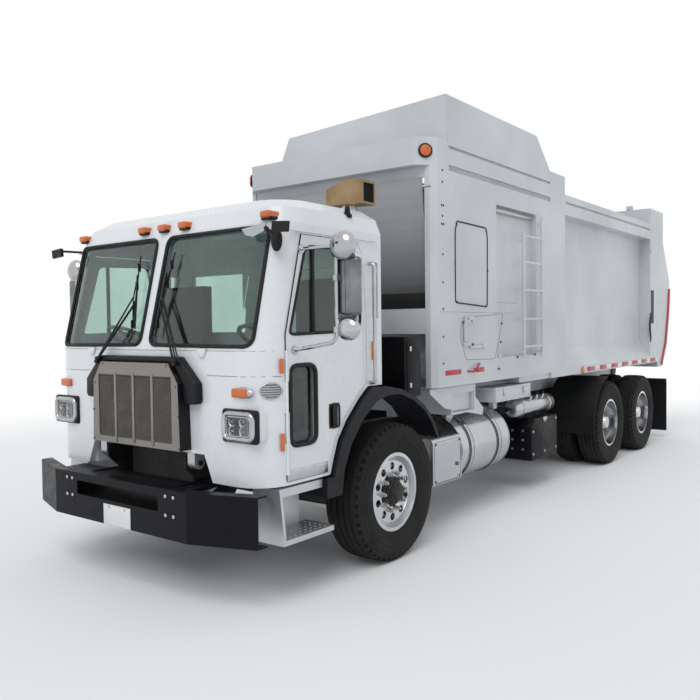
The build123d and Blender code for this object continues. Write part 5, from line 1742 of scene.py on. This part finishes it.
@dataclass
class SideBoxes:
    """Boxes and the reservoir hung on the left rail and behind the cab."""

    rail_x: float = 0.432
    battery_end: tuple[Flat, ...] = (
        (4.41, 0.33), (5.10, 0.33), (5.10, 0.77), (4.50, 0.77), (4.41, 0.70),
    )
    battery_bolts: tuple[Flat, ...] = (
        (4.45, 0.40), (4.45, 0.64), (5.06, 0.40), (5.06, 0.73), (4.75, 0.40), (4.75, 0.73),
    )
    vessel: tuple[Flat, ...] = (
        (0.0, 0.0), (0.004, 0.045), (0.018, 0.080), (0.040, 0.095), (0.910, 0.095),
        (0.932, 0.080), (0.946, 0.045), (0.950, 0.0),
    )
    band: tuple[Flat, ...] = ((-0.018, 0.0945), (0.018, 0.0945), (0.018, 0.0985), (-0.018, 0.0985))
    port_y: tuple[float, ...] = (4.50, 4.66, 4.82)

    def build(self) -> None:
        """Make the boxes, the reservoir and the hoses."""
        self.boxes()
        self.fittings()
        self.reservoir()
        self.hoses()

    def boxes(self) -> None:
        """Black battery boxes and the pale valve box, with their brackets."""
        black = Metalwork().plate(self.battery_end, Run.X, 0.60, 1.08, 0.010)
        black.box((self.rail_x, 4.70, 0.68), (0.605, 4.80, 0.74))
        black.box((0.350, 2.04, 1.20), (1.040, 2.29, 1.70), 0.012)
        black.box((0.350, 2.08, 0.93), (0.430, 2.25, 1.21))
        black.box((1.036, 2.07, 1.24), (1.046, 2.26, 1.66), 0.004)
        black.done("battery_boxes", "chassis", Finishes.BUMPER_BLACK, ("equipment_boxes",))
        pale = Metalwork()
        pale.box((0.850, 3.55, 1.03), (1.098, 4.35, 1.17), 0.006)
        pale.box((0.846, 3.545, 1.150), (1.102, 4.355, 1.172), 0.004)
        pale.box((self.rail_x, 3.88, 0.90), (0.900, 3.96, 0.928))
        pale.box((0.850, 3.88, 0.90), (0.900, 3.96, 1.04))
        pale.done("valve_box", "chassis", Finishes.BODY_WHITE)

    def fittings(self) -> None:
        """Latches, bolts and end studs of the boxes."""
        steel = Metalwork()
        for y in (3.72, 4.18):
            steel.box((1.100, y - 0.022, 1.085), (1.108, y + 0.022, 1.160), 0.003)
            steel.rod((1.106, y, 1.10), (1.114, y, 1.10), 0.010, 12, edge=0.002)
        for y, z in self.battery_bolts:
            steel.bolt((1.080, y, z), (1.0, 0.0, 0.0), 0.011, 0.008)
        steel.box((1.080, 4.70, 0.735), (1.090, 4.80, 0.775), 0.003)
        for z in (0.45, 0.55, 0.65):
            for x in (0.70, 0.86, 0.98):
                steel.rod((x, 4.402, z), (x, 4.412, z), 0.013, 12, edge=0.002)
        for z in (1.30, 1.60):
            steel.box((1.044, 2.10, z - 0.02), (1.054, 2.13, z + 0.02), 0.003)
        steel.done("box_fittings", "chassis", Finishes.BARE)

    def reservoir(self) -> None:
        """Air reservoir with its brackets, bands and ports."""
        vessel = Metalwork()
        vessel.turned(self.vessel, (0.950, 4.20, 0.90), 40, Run.Y, closed=False)
        for y in (4.30, 4.98):
            vessel.box((self.rail_x, y, 0.88), (0.900, y + 0.04, 0.91))
        vessel.done("reservoir", "chassis", Finishes.TANK)
        bands = Metalwork()
        for y in (4.32, 5.00):
            bands.turned(self.band, (0.95, y, 0.90), 40, Run.Y)
            bands.rod((0.95, y, 0.995), (0.95, y, 1.015), 0.010, 6)
        for y in self.port_y:
            bands.rod((1.00, y, 0.965), (1.03, y, 1.000), 0.018, 12, edge=0.003)
            bands.rod((1.03, y, 0.985), (1.03, y, 1.020), 0.012, 6)
        bands.done("reservoir_bands", "chassis", Finishes.BARE)

    def hoses(self) -> None:
        """Air hoses from the reservoir and the lead over the front battery box."""
        hose = Metalwork()
        for k, y in enumerate(self.port_y):
            path = [
                (1.03, y, 1.018), (1.03, y + 0.02, 1.045), (0.90, y + 0.10, 1.050 - 0.01 * k),
                (0.60, y + 0.22, 0.96), (0.45, y + 0.25, 0.90),
            ]
            hose.pipe(path, 0.010, 0.05)
        tail = [(0.95, 5.148, 0.90), (0.95, 5.20, 0.90), (0.90, 5.28, 0.80), (0.60, 5.34, 0.74),
                (0.44, 5.40, 0.74)]
        lead = [(0.70, 2.17, 1.70), (0.70, 2.17, 1.78), (0.50, 2.20, 1.80), (0.36, 2.22, 1.60),
                (0.34, 2.24, 1.00)]
        hose.pipe(tail, 0.012, 0.06)
        hose.pipe(lead, 0.014, 0.06)
        hose.done("side_hoses", "chassis", Finishes.HOSE)


@dataclass
class Mirrors:
    """Bright mirror of one door: arm, head, glass and domes."""

    side: Side
    arm_x: float = 1.440
    arm_y: float = 0.660
    arm_r: float = 0.013
    door_x: float = 1.165
    high_foot: Flat = (0.640, 2.300)
    low_foot: Flat = (0.560, 1.640)
    low_bend: float = 1.690

    def build(self) -> None:
        """Make the mirror."""
        body, word = f"door_{self.side.word}", self.side.word
        x, y, door = self.arm_x, self.arm_y, self.door_x
        path = [(door, *self.high_foot), (x, y, self.high_foot[1]), (x, y, self.low_bend),
                (door, *self.low_foot)]
        bright = Metalwork().pipe(path, self.arm_r, 0.06, sides=3)
        head = Metalwork().box((1.405, 0.676, 1.860), (1.599, 0.736, 2.230), 0.028, 5)
        head.box((1.470, 0.672, 1.880), (1.500, 0.680, 2.210), 0.003)
        # The head takes the darkened chrome: painted shade on its shell.
        head.on(self.side).done(f"mirror_{word}_head", body, Finishes.CHROME_PAINTED_SHADE)
        bright.ball((1.478, 0.684, 2.300), 0.100, (1.0, 0.62, 0.98))
        bright.ball((1.500, 0.700, 1.775), 0.095, (0.98, 0.50, 0.80))
        for z in (2.10, 1.77):
            bright.rod((x, y, z), (x, 0.682, z), 0.010, 12)
            bright.box((x - 0.018, y - 0.016, z - 0.02), (x + 0.018, y + 0.016, z + 0.02), 0.004)
        for foot_y, z in (self.high_foot, self.low_foot):
            bright.rod((door - 0.001, foot_y, z), (door + 0.008, foot_y, z), 0.030, 20, edge=0.003)
        bright.on(self.side)
        bright.done(f"mirror_{word}_bright", body, Finishes.CHROME, (f"mirror_{word}",))
        glass = Metalwork().box((1.418, 0.734, 1.875), (1.586, 0.7385, 2.215), 0.002)
        glass.on(self.side).done(f"mirror_{word}_glass", body, Finishes.MIRROR)


@dataclass
class RearEnd:
    """Lamps seen from behind."""

    bracket_y: float = 9.120
    lamp_z: float = 0.824
    lamp_r: float = 0.044
    top_y: float = 9.285
    top_z: Flat = (3.36, 3.40)

    def build(self) -> None:
        """Make the tail lamps and the tailgate's lamps."""
        case, red, clear = Metalwork(), Metalwork(), Metalwork()
        y, z = self.bracket_y, self.lamp_z
        case.box((0.62, y + 0.011, 0.770), (1.06, y + 0.034, 0.878), 0.006)
        for x, work in ((0.70, red), (0.84, clear), (0.98, red)):
            work.rod((x, y + 0.032, z), (x, y + 0.044, z), self.lamp_r, 28, edge=0.006)
        case.both().done("tail_lamp_cases", "chassis", Finishes.TRIM)
        red.both().done("tail_lamps", "chassis", Finishes.TAIL_RED)
        clear.both().done("reversing_lamps", "chassis", Finishes.WHITE_TAPE)
        high = Metalwork()
        for x in (0.20, 0.92):
            self.top_lamp(high, x)
        high.both()
        self.top_lamp(high, 0.0)
        high.done("tailgate_lamps", "tailgate", Finishes.TAIL_RED)

    def top_lamp(self, work: Metalwork, x: float) -> None:
        """Add one lamp on the tailgate's top edge.

        Args:
            work: Mesh to add to.
            x: Place across the tailgate.
        """
        low, high = self.top_z
        work.box(
            (x - 0.05, self.top_y - 0.001, low), (x + 0.05, self.top_y + 0.018, high), 0.008
        )


@dataclass
class SmallWear:
    """Step tread, exhaust mouth and flap fittings."""

    low_step: float = 0.4295
    high_step: float = 0.7545
    stud_height: float = 0.003
    mouth_x: float = 0.812
    mouth_y: Flat = (1.802, 1.938)
    mouth_z: Flat = (2.797, 2.944)
    wire_r: float = 0.0022
    sleeve: tuple[Flat, ...] = ((0.0, 0.0605), (0.0, 0.064), (0.12, 0.064), (0.12, 0.0605))
    flap_x: tuple[float, ...] = (0.66, 0.78, 0.90, 1.02, 1.14)

    def build(self) -> None:
        """Make the treads, the exhaust's mouth and the flap bolts."""
        self.treads()
        self.exhaust()
        flap = Metalwork()
        for x in self.flap_x:
            flap.bolt((x, 9.132, 0.90), (0.0, 1.0, 0.0), 0.010, 0.007)
        flap.both().done("flap_bolts", "chassis", Finishes.BARE)

    def treads(self) -> None:
        """Studs on the low step and ribs on the high one."""
        tread, low, high, rise = Metalwork(), self.low_step, self.high_step, self.stud_height
        for i in range(9):
            for j in range(5):
                x, y = 0.975 + 0.045 * j, 0.455 + 0.050 * i
                tread.rod((x, y, low), (x, y, low + rise), 0.013, 12, edge=0.001)
        for i in range(8):
            y0, y1 = 0.44 + 0.047 * i, 0.452 + 0.047 * i
            tread.box((0.965, y0, high), (1.130, y1, high + rise), 0.001)
        tread.both().done("step_treads", "chassis", Finishes.BARE)

    def exhaust(self) -> None:
        """Mesh in the exhaust's mouth and the sleeve on its stack."""
        mesh, x, (y0, y1), (z0, z1) = Metalwork(), self.mouth_x, self.mouth_y, self.mouth_z
        for k in range(9):
            z = 2.805 + 0.016 * k
            mesh.rod((x, y0, z), (x, y1, z), self.wire_r, 6)
        for k in range(8):
            y = 1.810 + 0.017 * k
            mesh.rod((x - 0.002, y, z0), (x - 0.002, y, z1), self.wire_r, 6)
        mesh.box((0.780, 1.801, z0), (0.784, 1.939, z1))
        mesh.done("exhaust_mesh", "chassis", Finishes.TRIM)
        sleeve = Metalwork().turned(self.sleeve, (0.620, 1.870, 2.655), 32, Run.Z)
        sleeve.done("exhaust_sleeve", "chassis", Finishes.BARE)


def dress_nodes(frame: dict) -> None:
    """Give every CAD node the finish of its slot.
    """
    slots = {part["node"]: part["material_slot"] for part in frame["record"]["subparts"]}
    for name, node in frame["nodes"].items():
        finish = NODE_OWN_FINISH.get(name) or NODE_FINISH[slots[name]]
        material = DRESSER.material(finish)
        if not node.data.materials:
            node.data.materials.append(material)
        for index in range(len(node.data.materials)):
            node.data.materials[index] = material


def main() -> None:
    """Dress the truck."""
    logging.basicConfig(level=logging.INFO, format="%(name)s %(message)s")
    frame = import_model()
    Studio().build()
    dress_nodes(frame)
    Wheels().build()
    CabFront().build()
    Grille().build()
    Bumper().build()
    for side in Side:
        DoorFace(side).build()
        Mirrors(side).build()
    TruckBody().build()
    TankDress().build()
    SideBoxes().build()
    RearEnd().build()
    SmallWear().build()


if __name__ == "__main__":
    main()
